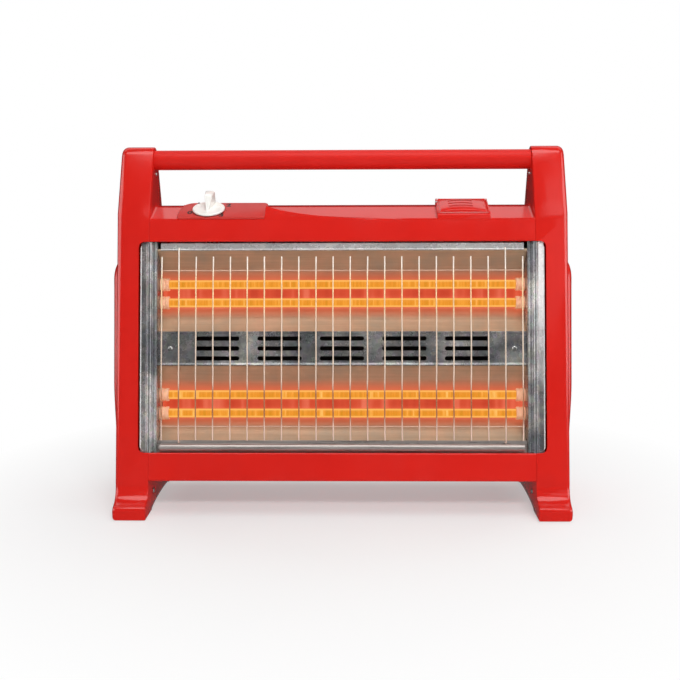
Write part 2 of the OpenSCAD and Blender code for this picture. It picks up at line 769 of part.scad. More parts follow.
// bracket on the bottom panel that carries the pendulum between two ears
module tip_frame() {
  z = floor_z;
  color("silver") {
    difference() {
      union() {
        block([tip_x - 14, tip_y - 14, z], [tip_x + 14, tip_y + 14, z + 1.5]);
        for (dir = [-1, 1]) block([tip_x + dir * 9 - 1, tip_y - 7, z],
          [tip_x + dir * 9 + 1, tip_y + 7, z + tip_axis + 6]);
      }
      for (k = [0 : 1]) bar_x(tip_x - 20, tip_x + 20, tip_y, z + tip_axis, 1.5);
    }
    bar_x(tip_x - 10, tip_x + 10, tip_y, z + tip_axis, 1.5);
  }
}

module tip_pendulum() {
  z = floor_z + tip_axis;
  color("goldenrod") difference() {
    union() {
      bar_x(tip_x - 4, tip_x + 4, tip_y, z, 4);
      bar_z(z - 24, z - 3, tip_x, tip_y, 1.6);
      bar_z(z - 36, z - 23, tip_x, tip_y, 7);
    }
    bar_x(tip_x - 6, tip_x + 6, tip_y, z, 1.55);
  }
}

module tip_switch() {
  z = floor_z;
  color("black") {
    block([tip_x + 14.5, tip_y - 10, z], [tip_x + 22, tip_y + 10, z + 22]);
    for (k = [-1 : 1]) block([tip_x + tip_tag - 0.5, tip_y + 6 * k - 1.5, z + 22],
      [tip_x + tip_tag + 0.5, tip_y + 6 * k + 1.5, z + 28]);
  }
}

module cord_grommet() {
  r = cord_r + 2.5;
  color("black") difference() {
    union() {
      bar_y(rear_y - 2.5, rear_y + steel + 5, cord_x, cord_z, r);
      bar_y(rear_y + steel, rear_y + steel + 2.5, cord_x, cord_z, r + 3);
      bar_y(rear_y - 2.5, rear_y, cord_x, cord_z, r + 2);
    }
    bar_y(rear_y - 4, rear_y + steel + 6, cord_x, cord_z, cord_r);
  }
}

// ---------- the assembly ----------

other_side() column();  // left_column
column();  // right_column
other_side() column_cover();  // left_column_cover
column_cover();  // right_column_cover
column_screws();
handle_tube();
foot_pads();
top_cover();
control_bezel();
knob();
switch_spindle();
switch_body();
switch_nut();
humidifier_lid();
lid_hinge_pin();
water_tank();
upper_fascia();
lower_fascia();
rear_panel();
bottom_panel();
rear_screws();
other_side() cheek();  // left_cheek
cheek();  // right_cheek
top_strip();
bottom_rail();
upper_reflector();
lower_reflector();
centre_panel();
panel_screws();
quartz_tube(0);  // quartz_tube_1
quartz_tube(1);  // quartz_tube_2
quartz_tube(2);  // quartz_tube_3
quartz_tube(3);  // quartz_tube_4
heating_coil(0);  // heating_coil_1
heating_coil(1);  // heating_coil_2
heating_coil(2);  // heating_coil_3
heating_coil(3);  // heating_coil_4
other_side() end_caps();  // left_end_caps
end_caps();  // right_end_caps
other_side() terminals();  // left_terminals
terminals();  // right_terminals
guard_uprights();
guard_cross_wires();
terminal_block();
thermal_cutout();
switched_leads();
common_lead();
supply_leads();
tip_frame();
tip_pendulum();
tip_switch();
cord_grommet();
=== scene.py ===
# %% [markdown]
# # A four-tube bar heater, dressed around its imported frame
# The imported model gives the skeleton: every node's place and size. This lesson makes the looks:
# moulded columns, enamelled sheet steel, glowing quartz tubes, a wire guard and the small fittings.
# Lengths are written in millimetres where they are real sizes, and turned into metres by MM.

# %% Load the frame
from math import cos, exp, pi, radians, sin, sqrt

import bmesh
import bpy
from mathutils import Matrix, Vector


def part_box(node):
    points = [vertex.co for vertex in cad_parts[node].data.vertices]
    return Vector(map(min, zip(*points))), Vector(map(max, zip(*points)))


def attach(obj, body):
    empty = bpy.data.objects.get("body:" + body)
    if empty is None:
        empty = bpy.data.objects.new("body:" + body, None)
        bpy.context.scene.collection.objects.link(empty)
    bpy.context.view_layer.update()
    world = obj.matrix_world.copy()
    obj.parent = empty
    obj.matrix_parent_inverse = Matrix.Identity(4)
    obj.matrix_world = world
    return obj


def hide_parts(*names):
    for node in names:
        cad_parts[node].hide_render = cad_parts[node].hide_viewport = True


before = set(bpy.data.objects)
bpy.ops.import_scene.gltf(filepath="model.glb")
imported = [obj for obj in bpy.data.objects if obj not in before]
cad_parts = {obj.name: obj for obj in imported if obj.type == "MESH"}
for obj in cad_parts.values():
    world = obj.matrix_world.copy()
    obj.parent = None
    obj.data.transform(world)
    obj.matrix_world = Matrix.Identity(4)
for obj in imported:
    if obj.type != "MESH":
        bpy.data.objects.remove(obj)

MM = 0.001
for spare in ("Cube", "Light", "Camera"):
    if spare in bpy.data.objects:
        bpy.data.objects.remove(bpy.data.objects[spare])
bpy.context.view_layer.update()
print("nodes in the frame:", len(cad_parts))

# %% [markdown]
# ## The two slanted frames
# The housing leans back, and its control panel slopes. On the real heater those are two bends in the
# sheet steel. Every piece could be turned by hand, but one function for each slanted frame keeps all
# of them in line: `leaned` for the window side, `on_slope` for the control panel.

# %% Slanted frames
LEAN = radians(10.8)
SLOPE = radians(22)
INNER_X = -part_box("top_cover")[0].x / MM
COLUMN_W = 40
OUTER_X = INNER_X + COLUMN_W
BODY_Y = -72.0
BODY_Z = 42.0
BODY_S = 313.0
WINDOW_S = (33.6, 286.6)
WINDOW_X = 244.0
MID_S = 158.5
PAIR_RISE = (WINDOW_S[1] - WINDOW_S[0]) / 2 - 59.2


def leaned(x, d, s):
    """Millimetres in the leaned frame (across, into the housing, up its front) to metres."""
    y = BODY_Y + d * cos(LEAN) + s * sin(LEAN)
    z = BODY_Z + s * cos(LEAN) - d * sin(LEAN)
    return Vector((x, y, z)) * MM


def front_y(z):
    """Where the leaned front lies at height z, in millimetres."""
    return BODY_Y + (z - BODY_Z) * sin(LEAN) / cos(LEAN)


SLOPE_FOOT = leaned(0, 0, BODY_S) / MM


def on_slope(x, u, v):
    """Millimetres on the sloping panel (across, up the slope, off it) to metres."""
    y = SLOPE_FOOT.y + u * cos(SLOPE) - v * sin(SLOPE)
    z = SLOPE_FOOT.z + u * sin(SLOPE) + v * cos(SLOPE)
    return Vector((x, y, z)) * MM


print("the slope starts at y %.1f mm, z %.1f mm" % (SLOPE_FOOT.y, SLOPE_FOOT.z))

# %% [markdown]
# ## Helpers for shader nodes
# Each finish below is a small node tree on one Principled shader. Wiring nodes by hand is long, so a
# few helpers do it: `add` makes a node with its settings, `noise` and `ramp` make the patterns, and
# `relief` turns a pattern into bump. Patterns read Object coordinates, so they stay put on a piece.

# %% Shader helpers
def finish_named(name, color, roughness, metallic=0.0):
    """A material with a Principled shader, and its tree and shader to work on."""
    mat = bpy.data.materials.new(name)
    mat.use_nodes = True
    mat.diffuse_color = (*color[:3], 1)
    tree = mat.node_tree
    shader = tree.nodes["Principled BSDF"]
    shader.inputs["Base Color"].default_value = (*color[:3], 1)
    shader.inputs["Roughness"].default_value = roughness
    shader.inputs["Metallic"].default_value = metallic
    return mat, tree, shader


def add(tree, kind, inputs=(), **settings):
    """One node; inputs is a dict of socket name to a value or to another node's output."""
    made = tree.nodes.new(kind)
    for key, value in settings.items():
        setattr(made, key, value)
    for key, value in dict(inputs).items():
        plug(tree, made.inputs[key], value)
    return made


def plug(tree, socket, value):
    if isinstance(value, bpy.types.NodeSocket):
        tree.links.new(value, socket)
    else:
        socket.default_value = value


def coat(tree, shader, color, roughness):
    """Wires a finish's colour pattern and gloss pattern."""
    plug(tree, shader.inputs["Base Color"], color)
    plug(tree, shader.inputs["Roughness"], roughness)


def shine(tree, shader, color, strength):
    """Makes a finish give off light in a colour or a colour pattern."""
    plug(tree, shader.inputs["Emission Color"], color)
    shader.inputs["Emission Strength"].default_value = strength


def place(tree, stretch=(1, 1, 1), turn=(0, 0, 0)):
    """Object coordinates, stretched and turned."""
    coords = add(tree, "ShaderNodeTexCoord").outputs["Object"]
    mapping = add(tree, "ShaderNodeMapping", {"Vector": coords, "Scale": stretch, "Rotation": turn})
    return mapping.outputs["Vector"]


def noise(tree, scale, detail=4.0, rough=0.55, where=None):
    """Cloudy grey noise."""
    where = where or place(tree)
    made = add(tree, "ShaderNodeTexNoise",
               {"Vector": where, "Scale": scale, "Detail": detail, "Roughness": rough})
    return made.outputs["Fac"]


def ramp(tree, fac, *stops):
    """A colour ramp: stops are (position, colour or grey)."""
    made = add(tree, "ShaderNodeValToRGB", {"Fac": fac})
    points = made.color_ramp.elements
    while len(points) < len(stops):
        points.new(0.5)
    for point, (at, color) in zip(points, stops):
        point.position = at
        point.color = (color, color, color, 1) if isinstance(color, (int, float)) else (*color, 1)
    return made.outputs["Color"]


def span(tree, fac, low, high, from_low=0.0, from_high=1.0):
    """A value mapped to the span from low to high."""
    made = add(tree, "ShaderNodeMapRange", {"Value": fac, "From Min": from_low, "From Max": from_high,
                                            "To Min": low, "To Max": high})
    return made.outputs["Result"]


def math(tree, operation, a, b=0.0):
    made = add(tree, "ShaderNodeMath", operation=operation)
    plug(tree, made.inputs[0], a)
    plug(tree, made.inputs[1], b)
    return made.outputs[0]


def mix_color(tree, fac, a, b, blend="MIX"):
    made = add(tree, "ShaderNodeMix", data_type="RGBA", blend_type=blend)
    plug(tree, made.inputs["Factor"], fac)
    plug(tree, made.inputs["A"], a if isinstance(a, bpy.types.NodeSocket) else (*a[:3], 1))
    plug(tree, made.inputs["B"], b if isinstance(b, bpy.types.NodeSocket) else (*b[:3], 1))
    return made.outputs["Result"]


def relief(tree, shader, height, depth, strength=1.0, under=None):
    """Bump of a real depth in metres; under is the bump that it lies on."""
    made = add(tree, "ShaderNodeBump", {"Height": height, "Distance": depth, "Strength": strength})
    if under is not None:
        tree.links.new(under, made.inputs["Normal"])
    tree.links.new(made.outputs["Normal"], shader.inputs["Normal"])
    return made.outputs["Normal"]


# %% [markdown]
# ## Red plastic and red enamel
# The columns, top cover and lid are moulded in glossy red plastic, and the sheet steel is enamelled
# in the same red. Both could share one material, but they catch light differently: the plastic has
# long soft waves left by the mould, and the enamel a fine orange peel under a clear, even gloss. The
# handle's enamel is satin, and the bezel is a satin plastic with a grain.

# %% Red finishes
def red_gloss(name, smooth, rough, peel_scale, peel_depth):
    """Glossy red: slight colour clouds, uneven gloss, long waves and a fine peel."""
    mat, tree, shader = finish_named(name, (0.70, 0.008, 0.004), 0.2)
    clouds = noise(tree, 9, 3)
    color = ramp(tree, clouds, (0.3, (0.67, 0.0135, 0.0085)), (0.75, (0.73, 0.0165, 0.0105)))
    plug(tree, shader.inputs["Base Color"], color)
    smudge = noise(tree, 34, 5, 0.62, place(tree, (1, 1, 0.5), (0.4, 0.2, 0)))
    plug(tree, shader.inputs["Roughness"], span(tree, smudge, smooth, rough, 0.35, 0.72))
    waves = relief(tree, shader, noise(tree, 14, 1), 0.0002, 0.4)
    relief(tree, shader, noise(tree, peel_scale, 2), peel_depth, 0.3, waves)
    return mat


def red_plastic():
    return red_gloss("red_moulded_plastic", smooth=0.09, rough=0.2, peel_scale=1500, peel_depth=0.00002)


def red_enamel():
    return red_gloss("red_enamel", smooth=0.1, rough=0.24, peel_scale=620, peel_depth=0.00003)


def satin_enamel():
    mat = red_gloss("satin_red_enamel", smooth=0.36, rough=0.5, peel_scale=400, peel_depth=0.00004)
    mat.node_tree.nodes["Principled BSDF"].inputs["Specular IOR Level"].default_value = 0.2
    return mat


def bezel_plastic():
    mat, tree, shader = finish_named("satin_bezel_plastic", (0.52, 0.03, 0.024), 0.34)
    grain = noise(tree, 1400, 4, 0.6)
    clouds = noise(tree, 30, 3)
    color = ramp(tree, clouds, (0.3, (0.56, 0.024, 0.018)), (0.75, (0.64, 0.034, 0.026)))
    coat(tree, shader, color, span(tree, grain, 0.3, 0.44, 0.3, 0.7))
    relief(tree, shader, grain, 0.00005, 0.6)
    return mat


# %% [markdown]
# ## Bare metals
# Galvanised sheet shows zinc crystals: flat patches that each reflect a little differently, with
# cloudy stains over them. Voronoi cells give the patches and noise the clouds, and above a height
# up the front the zinc can be painted whiter: a painted highlight on the side plates, a paler tone
# on the top strip. The aluminised reflectors are rolled, so their noise is stretched along the grain.
# Heat has tanned them, and each has a painted reflection of its pair of tubes: two red bands that
# give off light.

# %% Metals
def up_the_front(tree):
    """How far up the leaned front a shaded point lies, in metres."""
    toward = (0.0, sin(LEAN), cos(LEAN))
    foot = -(BODY_Y * sin(LEAN) + BODY_Z * cos(LEAN)) * MM
    along = add(tree, "ShaderNodeVectorMath", {0: place(tree), 1: toward}, operation="DOT_PRODUCT")
    return math(tree, "ADD", along.outputs["Value"], foot)


def galvanised_sheet(name, whitening, whitening_from=0.17):
    """Mottled zinc, painted whiter by whitening, 0 to 1, above a height up the front in metres; on the side
    plates this white is a painted highlight.
    """
    mat, tree, shader = finish_named(name, (0.42, 0.44, 0.47), 0.3, 0.55)
    cells = add(tree, "ShaderNodeTexVoronoi", {"Vector": place(tree, (1, 1, 0.7)), "Scale": 190})
    cells = cells.outputs["Color"]
    facet = noise(tree, 60, 5, 0.7)
    cloud = noise(tree, 42, 5, 0.66, place(tree, (0.34, 1, 0.34)))
    grey = ramp(tree, cloud, (0.36, (0.12, 0.135, 0.165)), (0.5, (0.28, 0.272, 0.265)),
                (0.64, (0.56, 0.53, 0.50)))
    spangle = mix_color(tree, 0.16, grey, cells, "OVERLAY")
    plain = add(tree, "ShaderNodeHueSaturation", {"Color": spangle, "Saturation": 0.45}).outputs["Color"]
    # Above a height up the front the colour is whitened; on the side plates this is a painted highlight.
    high = math(tree, "ADD", up_the_front(tree), math(tree, "MULTIPLY", cloud, 0.12))
    white = span(tree, high, 0.0, whitening, whitening_from, whitening_from + 0.12)
    coat(tree, shader, mix_color(tree, white, plain, (0.93, 0.93, 0.92)),
         span(tree, facet, 0.16, 0.38, 0.3, 0.7))
    plug(tree, shader.inputs["Metallic"], span(tree, white, 0.55, 0.1))
    ripple = relief(tree, shader, noise(tree, 30, 2), 0.0012, 0.5)
    relief(tree, shader, noise(tree, 260, 3), 0.00008, 0.5, ripple)
    return mat


def rolled_bright_steel():
    mat, tree, shader = finish_named("bright_rolled_steel", (0.8, 0.8, 0.8), 0.2, 0.6)
    streaks = noise(tree, 12, 5, 0.6, place(tree, (1, 30, 30)))
    color = ramp(tree, streaks, (0.3, (0.40, 0.36, 0.34)), (0.7, (0.62, 0.56, 0.53)))
    coat(tree, shader, color, span(tree, streaks, 0.22, 0.4, 0.3, 0.7))
    relief(tree, shader, noise(tree, 60, 3, 0.5, place(tree, (0.3, 4, 4))), 0.0002, 0.4)
    return mat


def guard_wire_steel():
    """Bright wire coloured in bands by height where it crosses the tubes: straw-yellow over the upper pair,
    dark brown over the lower pair.
    """
    mat, tree, shader = finish_named("guard_wire_steel", (0.92, 0.86, 0.76), 0.3, 0.25)
    height = math(tree, "DIVIDE", up_the_front(tree), 0.32)
    dark_brown = (0.42, 0.17, 0.08)
    color = ramp(tree, height, (0.20, (0.80, 0.60, 0.50)), (0.245, dark_brown), (0.325, dark_brown),
                 (0.37, (0.76, 0.60, 0.48)), (0.60, (0.82, 0.68, 0.54)), (0.66, (0.92, 0.66, 0.36)),
                 (0.75, (0.92, 0.68, 0.40)), (0.80, (0.93, 0.86, 0.75)))
    coat(tree, shader, color, span(tree, noise(tree, 16, 3, 0.5), 0.26, 0.38))
    relief(tree, shader, noise(tree, 120, 2), 0.00003, 0.3)
    return mat


def cross_wire_steel():
    """The thinner wires behind the upright ones: browned by the heat, so they hardly show."""
    mat, tree, shader = finish_named("browned_cross_wire_steel", (0.7, 0.5, 0.4), 0.4, 0.3)
    heat = noise(tree, 30, 3, 0.5)
    color = ramp(tree, heat, (0.3, (0.66, 0.43, 0.31)), (0.7, (0.80, 0.58, 0.44)))
    coat(tree, shader, color, span(tree, heat, 0.32, 0.48))
    relief(tree, shader, noise(tree, 200, 2), 0.00003, 0.3)
    return mat


def heated_reflector():
    """Tanned sheet with a painted reflection of its pair of tubes: two soft red bands that give off light,
    over a darkened base colour.
    """
    mat, tree, shader = finish_named("aluminised_reflector_painted_glow", (0.5, 0.44, 0.36), 0.3, 0.35)
    grain = noise(tree, 10, 6, 0.65, place(tree, (0.6, 26, 26)))
    cloud = noise(tree, 16, 4, 0.6)
    patches = noise(tree, 60, 2, 0.5, place(tree, (1, 0.05, 0.05)))
    # Painted reflection: near each pair of tubes, on the front side only, the base colour is darkened and an
    # emission paints the tubes' red glow.
    from_middle = math(tree, "ABSOLUTE", math(tree, "SUBTRACT", up_the_front(tree), MID_S * MM))
    from_pair = math(tree, "ABSOLUTE", math(tree, "SUBTRACT", from_middle, PAIR_RISE * MM))
    normal = add(tree, "ShaderNodeNewGeometry").outputs["Normal"]
    faced = add(tree, "ShaderNodeVectorMath", {0: normal, 1: (0.0, -1.0, 0.0)}, operation="DOT_PRODUCT")
    front_side = span(tree, faced.outputs["Value"], 0.0, 1.0, 0.0, 0.1)
    near = math(tree, "MULTIPLY", span(tree, from_pair, 1.0, 0.0, 0.016, 0.03), front_side)
    between = span(tree, from_pair, 1.0, 0.0, 0.005, 0.009)
    tan = ramp(tree, cloud, (0.32, (0.50, 0.42, 0.30)), (0.52, (0.63, 0.45, 0.29)), (0.7, (0.74, 0.48, 0.31)))
    shade = ramp(tree, grain, (0.25, 0.8), (0.75, 1.0))
    tan = mix_color(tree, 1.0, tan, shade, "MULTIPLY")
    plug(tree, shader.inputs["Base Color"], mix_color(tree, near, tan, (0.26, 0.07, 0.04)))
    red = ramp(tree, patches, (0.35, (0.56, 0.05, 0.02)), (0.55, (0.66, 0.075, 0.03)),
               (0.72, (0.82, 0.18, 0.10)))
    outer_red = ramp(tree, cloud, (0.3, (0.60, 0.125, 0.055)), (0.75, (0.70, 0.17, 0.08)))
    glow = mix_color(tree, between, outer_red, red)
    shine(tree, shader, mix_color(tree, near, (0, 0, 0), glow), 0.9)
    plug(tree, shader.inputs["Roughness"], span(tree, grain, 0.3, 0.46, 0.3, 0.7))
    dents = relief(tree, shader, noise(tree, 18, 2), 0.0014, 0.35)
    relief(tree, shader, grain, 0.00006, 0.5, dents)
    return mat


def zinc_plate():
    mat, tree, shader = finish_named("zinc_plated_steel", (0.66, 0.67, 0.68), 0.28, 1.0)
    whitening = noise(tree, 180, 4, 0.6)
    color = ramp(tree, whitening, (0.3, (0.52, 0.53, 0.53)), (0.7, (0.74, 0.74, 0.72)))
    coat(tree, shader, color, span(tree, whitening, 0.2, 0.42, 0.3, 0.7))
    relief(tree, shader, noise(tree, 1200, 2), 0.00003, 0.5)
    return mat


def turned_brass():
    mat, tree, shader = finish_named("turned_brass", (0.72, 0.52, 0.22), 0.26, 1.0)
    rings = noise(tree, 900, 3, 0.5, place(tree, (0.1, 0.1, 3)))
    color = ramp(tree, rings, (0.3, (0.62, 0.42, 0.16)), (0.7, (0.8, 0.6, 0.28)))
    coat(tree, shader, color, span(tree, rings, 0.2, 0.38, 0.3, 0.7))
    relief(tree, shader, rings, 0.00004, 0.5)
    return mat


# %% [markdown]
# ## Glowing quartz and its coil
# A lit tube is a frosted quartz pipe around a glowing coil. The frost scatters the coil's light, so
# the pipe itself seems to glow, and its colour changes from the middle to the brim. Layer Weight
# gives that change, and noise squeezed along the tube gives the uneven light of the turns.

# %% Glow
CAST = (0.42, 0.09, 0.025)


def tube_light(tree, shader, seen_color):
    """Shines in the colour that the eye sees, and casts redder light on the metal round the tube."""
    camera_ray = add(tree, "ShaderNodeLightPath").outputs["Is Camera Ray"]
    shine(tree, shader, mix_color(tree, camera_ray, CAST, seen_color), 1.0)


def frosted_quartz():
    mat, tree, shader = finish_named("frosted_glowing_quartz", (0.3, 0.1, 0.05), 0.35)
    marks = noise(tree, 230, 2, 0.5, place(tree, (1, 0.05, 0.05)))
    core = ramp(tree, marks, (0.30, (0.72, 0.27, 0.016)), (0.46, (0.82, 0.29, 0.022)),
                (0.60, (0.90, 0.35, 0.035)), (0.74, (1.0, 0.55, 0.14)))
    facing = add(tree, "ShaderNodeLayerWeight", {"Blend": 0.5}).outputs["Facing"]
    brim = mix_color(tree, span(tree, facing, 0.0, 1.0, 0.13, 0.26), core, (1.0, 0.50, 0.11))
    color = mix_color(tree, span(tree, facing, 0.0, 1.0, 0.44, 0.62), brim, (0.80, 0.17, 0.05))
    tube_light(tree, shader, color)
    plug(tree, shader.inputs["Roughness"], span(tree, marks, 0.3, 0.5))
    relief(tree, shader, noise(tree, 700, 3), 0.00005, 0.4)
    shader.inputs["Base Color"].default_value = (0.02, 0.008, 0.004, 1)
    shader.inputs["Specular IOR Level"].default_value = 0.15
    plug(tree, shader.inputs["Alpha"], span(tree, facing, 0.86, 0.25, 0.44, 0.66))
    return mat


def glowing_wire():
    mat, tree, shader = finish_named("glowing_coil_wire", (0.25, 0.12, 0.06), 0.5)
    heat = noise(tree, 90, 3)
    color = ramp(tree, heat, (0.3, (0.9, 0.36, 0.04)), (0.7, (1.0, 0.52, 0.12)))
    tube_light(tree, shader, color)
    plug(tree, shader.inputs["Roughness"], span(tree, heat, 0.4, 0.6))
    relief(tree, shader, noise(tree, 2500, 2), 0.00003, 0.4)
    return mat


def steatite():
    mat, tree, shader = finish_named("steatite_ceramic", (0.8, 0.66, 0.58), 0.6)
    cloud = noise(tree, 140, 5, 0.65)
    color = ramp(tree, cloud, (0.3, (0.76, 0.45, 0.28)), (0.65, (0.86, 0.57, 0.38)), (0.9, (0.9, 0.70, 0.54)))
    coat(tree, shader, color, span(tree, cloud, 0.5, 0.75))
    relief(tree, shader, noise(tree, 1800, 4, 0.7), 0.00008, 0.6)
    # Painted glow: a faint warm emission stands in for the tubes' light falling on the caps.
    painted_glow = ramp(tree, cloud, (0.3, (0.5, 0.13, 0.06)), (0.8, (0.62, 0.2, 0.1)))
    shine(tree, shader, painted_glow, 0.4)
    shader.inputs["Subsurface Weight"].default_value = 0.2
    shader.inputs["Subsurface Radius"].default_value = (0.004, 0.0015, 0.001)
    return mat


# %% [markdown]
# ## Knob, rubber, and the plain plastics inside
# The knob is cream plastic with a soft gloss. The pads and grommet are rubber, matt with a powdery
# bloom. The parts that only show through a vent still get a finish of their own, because a heater is
# looked at from behind as well: a moulded plastic, a woven sleeve and a milky tank.

# %% Plastics and rubber
def moulded(name, dark, light, roughness, scale=60, depth=0.00005):
    """A plain moulded plastic or rubber: two tones, an uneven gloss and a fine grain."""
    mat, tree, shader = finish_named(name, light, roughness)
    cloud = noise(tree, scale, 4, 0.6)
    coat(tree, shader, ramp(tree, cloud, (0.3, dark), (0.7, light)),
         span(tree, cloud, roughness * 0.8, roughness * 1.25, 0.3, 0.7))
    relief(tree, shader, noise(tree, 1600, 3), depth, 0.5)
    return mat


def woven_sleeve(name, dark, light):
    """A braided heat-proof sleeve: two crossed waves make the braid."""
    mat, tree, shader = finish_named(name, light, 0.75)
    one = add(tree, "ShaderNodeTexWave", {"Vector": place(tree, turn=(0.6, 0.7, 0.2)), "Scale": 260.0})
    two = add(tree, "ShaderNodeTexWave", {"Vector": place(tree, turn=(-0.6, -0.7, 0.9)), "Scale": 260.0})
    braid = math(tree, "MAXIMUM", one.outputs["Fac"], two.outputs["Fac"])
    coat(tree, shader, ramp(tree, braid, (0.2, dark), (0.8, light)), span(tree, braid, 0.65, 0.85))
    relief(tree, shader, braid, 0.00015, 0.6)
    return mat


def milky_tank():
    mat, tree, shader = finish_named("milky_tank_plastic", (0.85, 0.86, 0.86), 0.3)
    cloud = noise(tree, 50, 4)
    color = ramp(tree, cloud, (0.3, (0.74, 0.76, 0.77)), (0.7, (0.82, 0.83, 0.83)))
    coat(tree, shader, color, span(tree, cloud, 0.22, 0.4))
    relief(tree, shader, noise(tree, 300, 2), 0.00008, 0.4)
    shader.inputs["Transmission Weight"].default_value = 0.25
    return mat


FINISH = {
    "red_plastic": red_plastic(),
    "red_paint": red_enamel(),
    "satin_red": satin_enamel(),
    "bezel_red": bezel_plastic(),
    "cream_plastic": moulded("cream_knob_plastic", (0.96, 0.945, 0.89), (0.985, 0.98, 0.94),
                             0.28, 40, 0.00003),
    "galvanised": galvanised_sheet("galvanised_sheet", 0.0),
    # Two of the next three zinc finishes are painted white highlights: the right plate's upper flat and the
    # plates' rolled edges.
    "zinc_painted_highlight": galvanised_sheet("galvanised_sheet_painted_highlight", 1.0),
    "pale_zinc": galvanised_sheet("pale_galvanised_sheet", 0.4),
    "zinc_edge_painted_highlight": galvanised_sheet("galvanised_edge_painted_highlight", 0.9, -0.5),
    # Near-black: painted shade for the inside of the rear sheet.
    "inner_face_painted_shade": moulded("near_black_painted_shade", (0.03, 0.03, 0.03), (0.06, 0.058, 0.055), 0.7, 60, 0.00004),
    "bright_steel": rolled_bright_steel(),
    "guard_wire": guard_wire_steel(),
    "cross_wire": cross_wire_steel(),
    "reflector": heated_reflector(),
    "glowing_quartz": frosted_quartz(),
    "glowing_coil": glowing_wire(),
    "white_ceramic": steatite(),
    "zinc_steel": zinc_plate(),
    "brass": turned_brass(),
    "black_rubber": moulded("black_rubber", (0.018, 0.018, 0.018), (0.05, 0.05, 0.05), 0.7, 90, 0.0001),
    "black_plastic": moulded("black_plastic", (0.02, 0.02, 0.022), (0.045, 0.045, 0.05), 0.45),
    "natural_plastic": moulded("natural_plastic", (0.66, 0.61, 0.5), (0.76, 0.72, 0.62), 0.45),
    "tank_plastic": milky_tank(),
    "white_sleeve": woven_sleeve("white_glass_sleeve", (0.6, 0.58, 0.53), (0.82, 0.81, 0.78)),
    "brown_sleeve": woven_sleeve("brown_glass_sleeve", (0.12, 0.05, 0.02), (0.3, 0.15, 0.07)),
    "mark": moulded("printed_black_mark", (0.012, 0.01, 0.01), (0.03, 0.022, 0.02), 0.5, 900, 0.00002),
}
print("finishes:", len(FINISH))

# %% [markdown]
# ## From points to a finished piece
# A piece is a plain mesh whose points already lie in the object's frame. `shell` lofts rings of
# points into a closed body, `finish_piece` gives any mesh its shading, its finish and the body it
# rides on. Shading is smooth, with sharp edges kept wherever two faces meet at a real corner.

# %% Mesh helpers
def shade(mesh, corner=32):
    """Smooth shading, sharp where faces meet at more than corner degrees."""
    for face in mesh.polygons:
        face.use_smooth = True
    mesh.set_sharp_from_angle(angle=radians(corner))


def object_from(name, mesh):
    made = bpy.data.objects.new(name, mesh)
    bpy.context.scene.collection.objects.link(made)
    return made


def mesh_as_it_is(name, build):
    """A mesh from a bmesh, which is used up."""
    mesh = bpy.data.meshes.new(name)
    build.to_mesh(mesh)
    build.free()
    return mesh


def mesh_from(name, build):
    """A mesh from a bmesh after its doubles are merged and its faces turned outwards."""
    bmesh.ops.remove_doubles(build, verts=build.verts, dist=1e-6)
    bmesh.ops.recalc_face_normals(build, faces=build.faces)
    return mesh_as_it_is(name, build)


def finish_piece(made, slot, body="housing", stands_for=(), finish=None, corner=32):
    """Shading, a material from its finish or else its slot, its body, and hiding the CAD nodes that the piece
    stands for.
    """
    made.data.materials.clear()
    made.data.materials.append(FINISH[finish or slot])
    shade(made.data, corner)
    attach(made, body)
    if stands_for:
        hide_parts(*stands_for)
    return made


def refinish(made, finish, chosen):
    """Gives one more finish to the faces of a finished piece that chosen picks."""
    made.data.materials.append(FINISH[finish])
    for face in made.data.polygons:
        if chosen(face):
            face.material_index = len(made.data.materials) - 1


def shell(rings):
    """A bmesh lofted through closed rings of points, with a face over the first and the last."""
    build = bmesh.new()
    rows = [[build.verts.new(p) for p in ring] for ring in rings]
    count = len(rows[0])
    for low, high in zip(rows, rows[1:]):
        for k in range(count):
            n = (k + 1) % count
            build.faces.new((low[k], low[n], high[n], high[k]))
    build.faces.new(rows[0][::-1])
    build.faces.new(rows[-1])
    return build


def lathe(profile, turns=48):
    """A bmesh turned about the Z axis from (radius, height) points in millimetres."""
    build = bmesh.new()
    rows = []
    for radius, height in profile:
        if radius < 1e-6:
            rows.append([build.verts.new((0, 0, height * MM))])
            continue
        around = [2 * pi * k / turns for k in range(turns)]
        ring = [(radius * cos(a) * MM, radius * sin(a) * MM, height * MM) for a in around]
        rows.append([build.verts.new(point) for point in ring])
    for low, high in zip(rows, rows[1:]):
        for k in range(turns):
            n = (k + 1) % turns
            corners = [low[k % len(low)], low[n % len(low)], high[n % len(high)], high[k % len(high)]]
            corners = list(dict.fromkeys(corners))
            if len(corners) > 2:
                build.faces.new(corners)
    return build


def arc(center, radius, start, end, count):
    """Points on an arc, angles in degrees."""
    at = [radians(start + (end - start) * k / count) for k in range(count + 1)]
    return [(center[0] + radius * cos(a), center[1] + radius * sin(a)) for a in at]


def worked_out(made):
    """The plain mesh that an object comes to with its modifiers, or its text, worked out."""
    bpy.context.view_layer.update()
    graph = bpy.context.evaluated_depsgraph_get()
    return bpy.data.meshes.new_from_object(made.evaluated_get(graph))


def modified(made, kind, **settings):
    """Applies one modifier and returns the object with its plain mesh."""
    mod = made.modifiers.new(kind.title(), kind)
    for key, value in settings.items():
        setattr(mod, key, value)
    mesh = worked_out(made)
    made.modifiers.clear()
    old = made.data
    made.data = mesh
    bpy.data.meshes.remove(old)
    return made


def cut(made, *tools, how="DIFFERENCE"):
    """Cuts tools away from a piece, or joins them to it, and throws the tools away."""
    for tool in tools:
        modified(made, "BOOLEAN", operation=how, object=tool, solver="EXACT")
        bpy.data.objects.remove(tool)
    return made


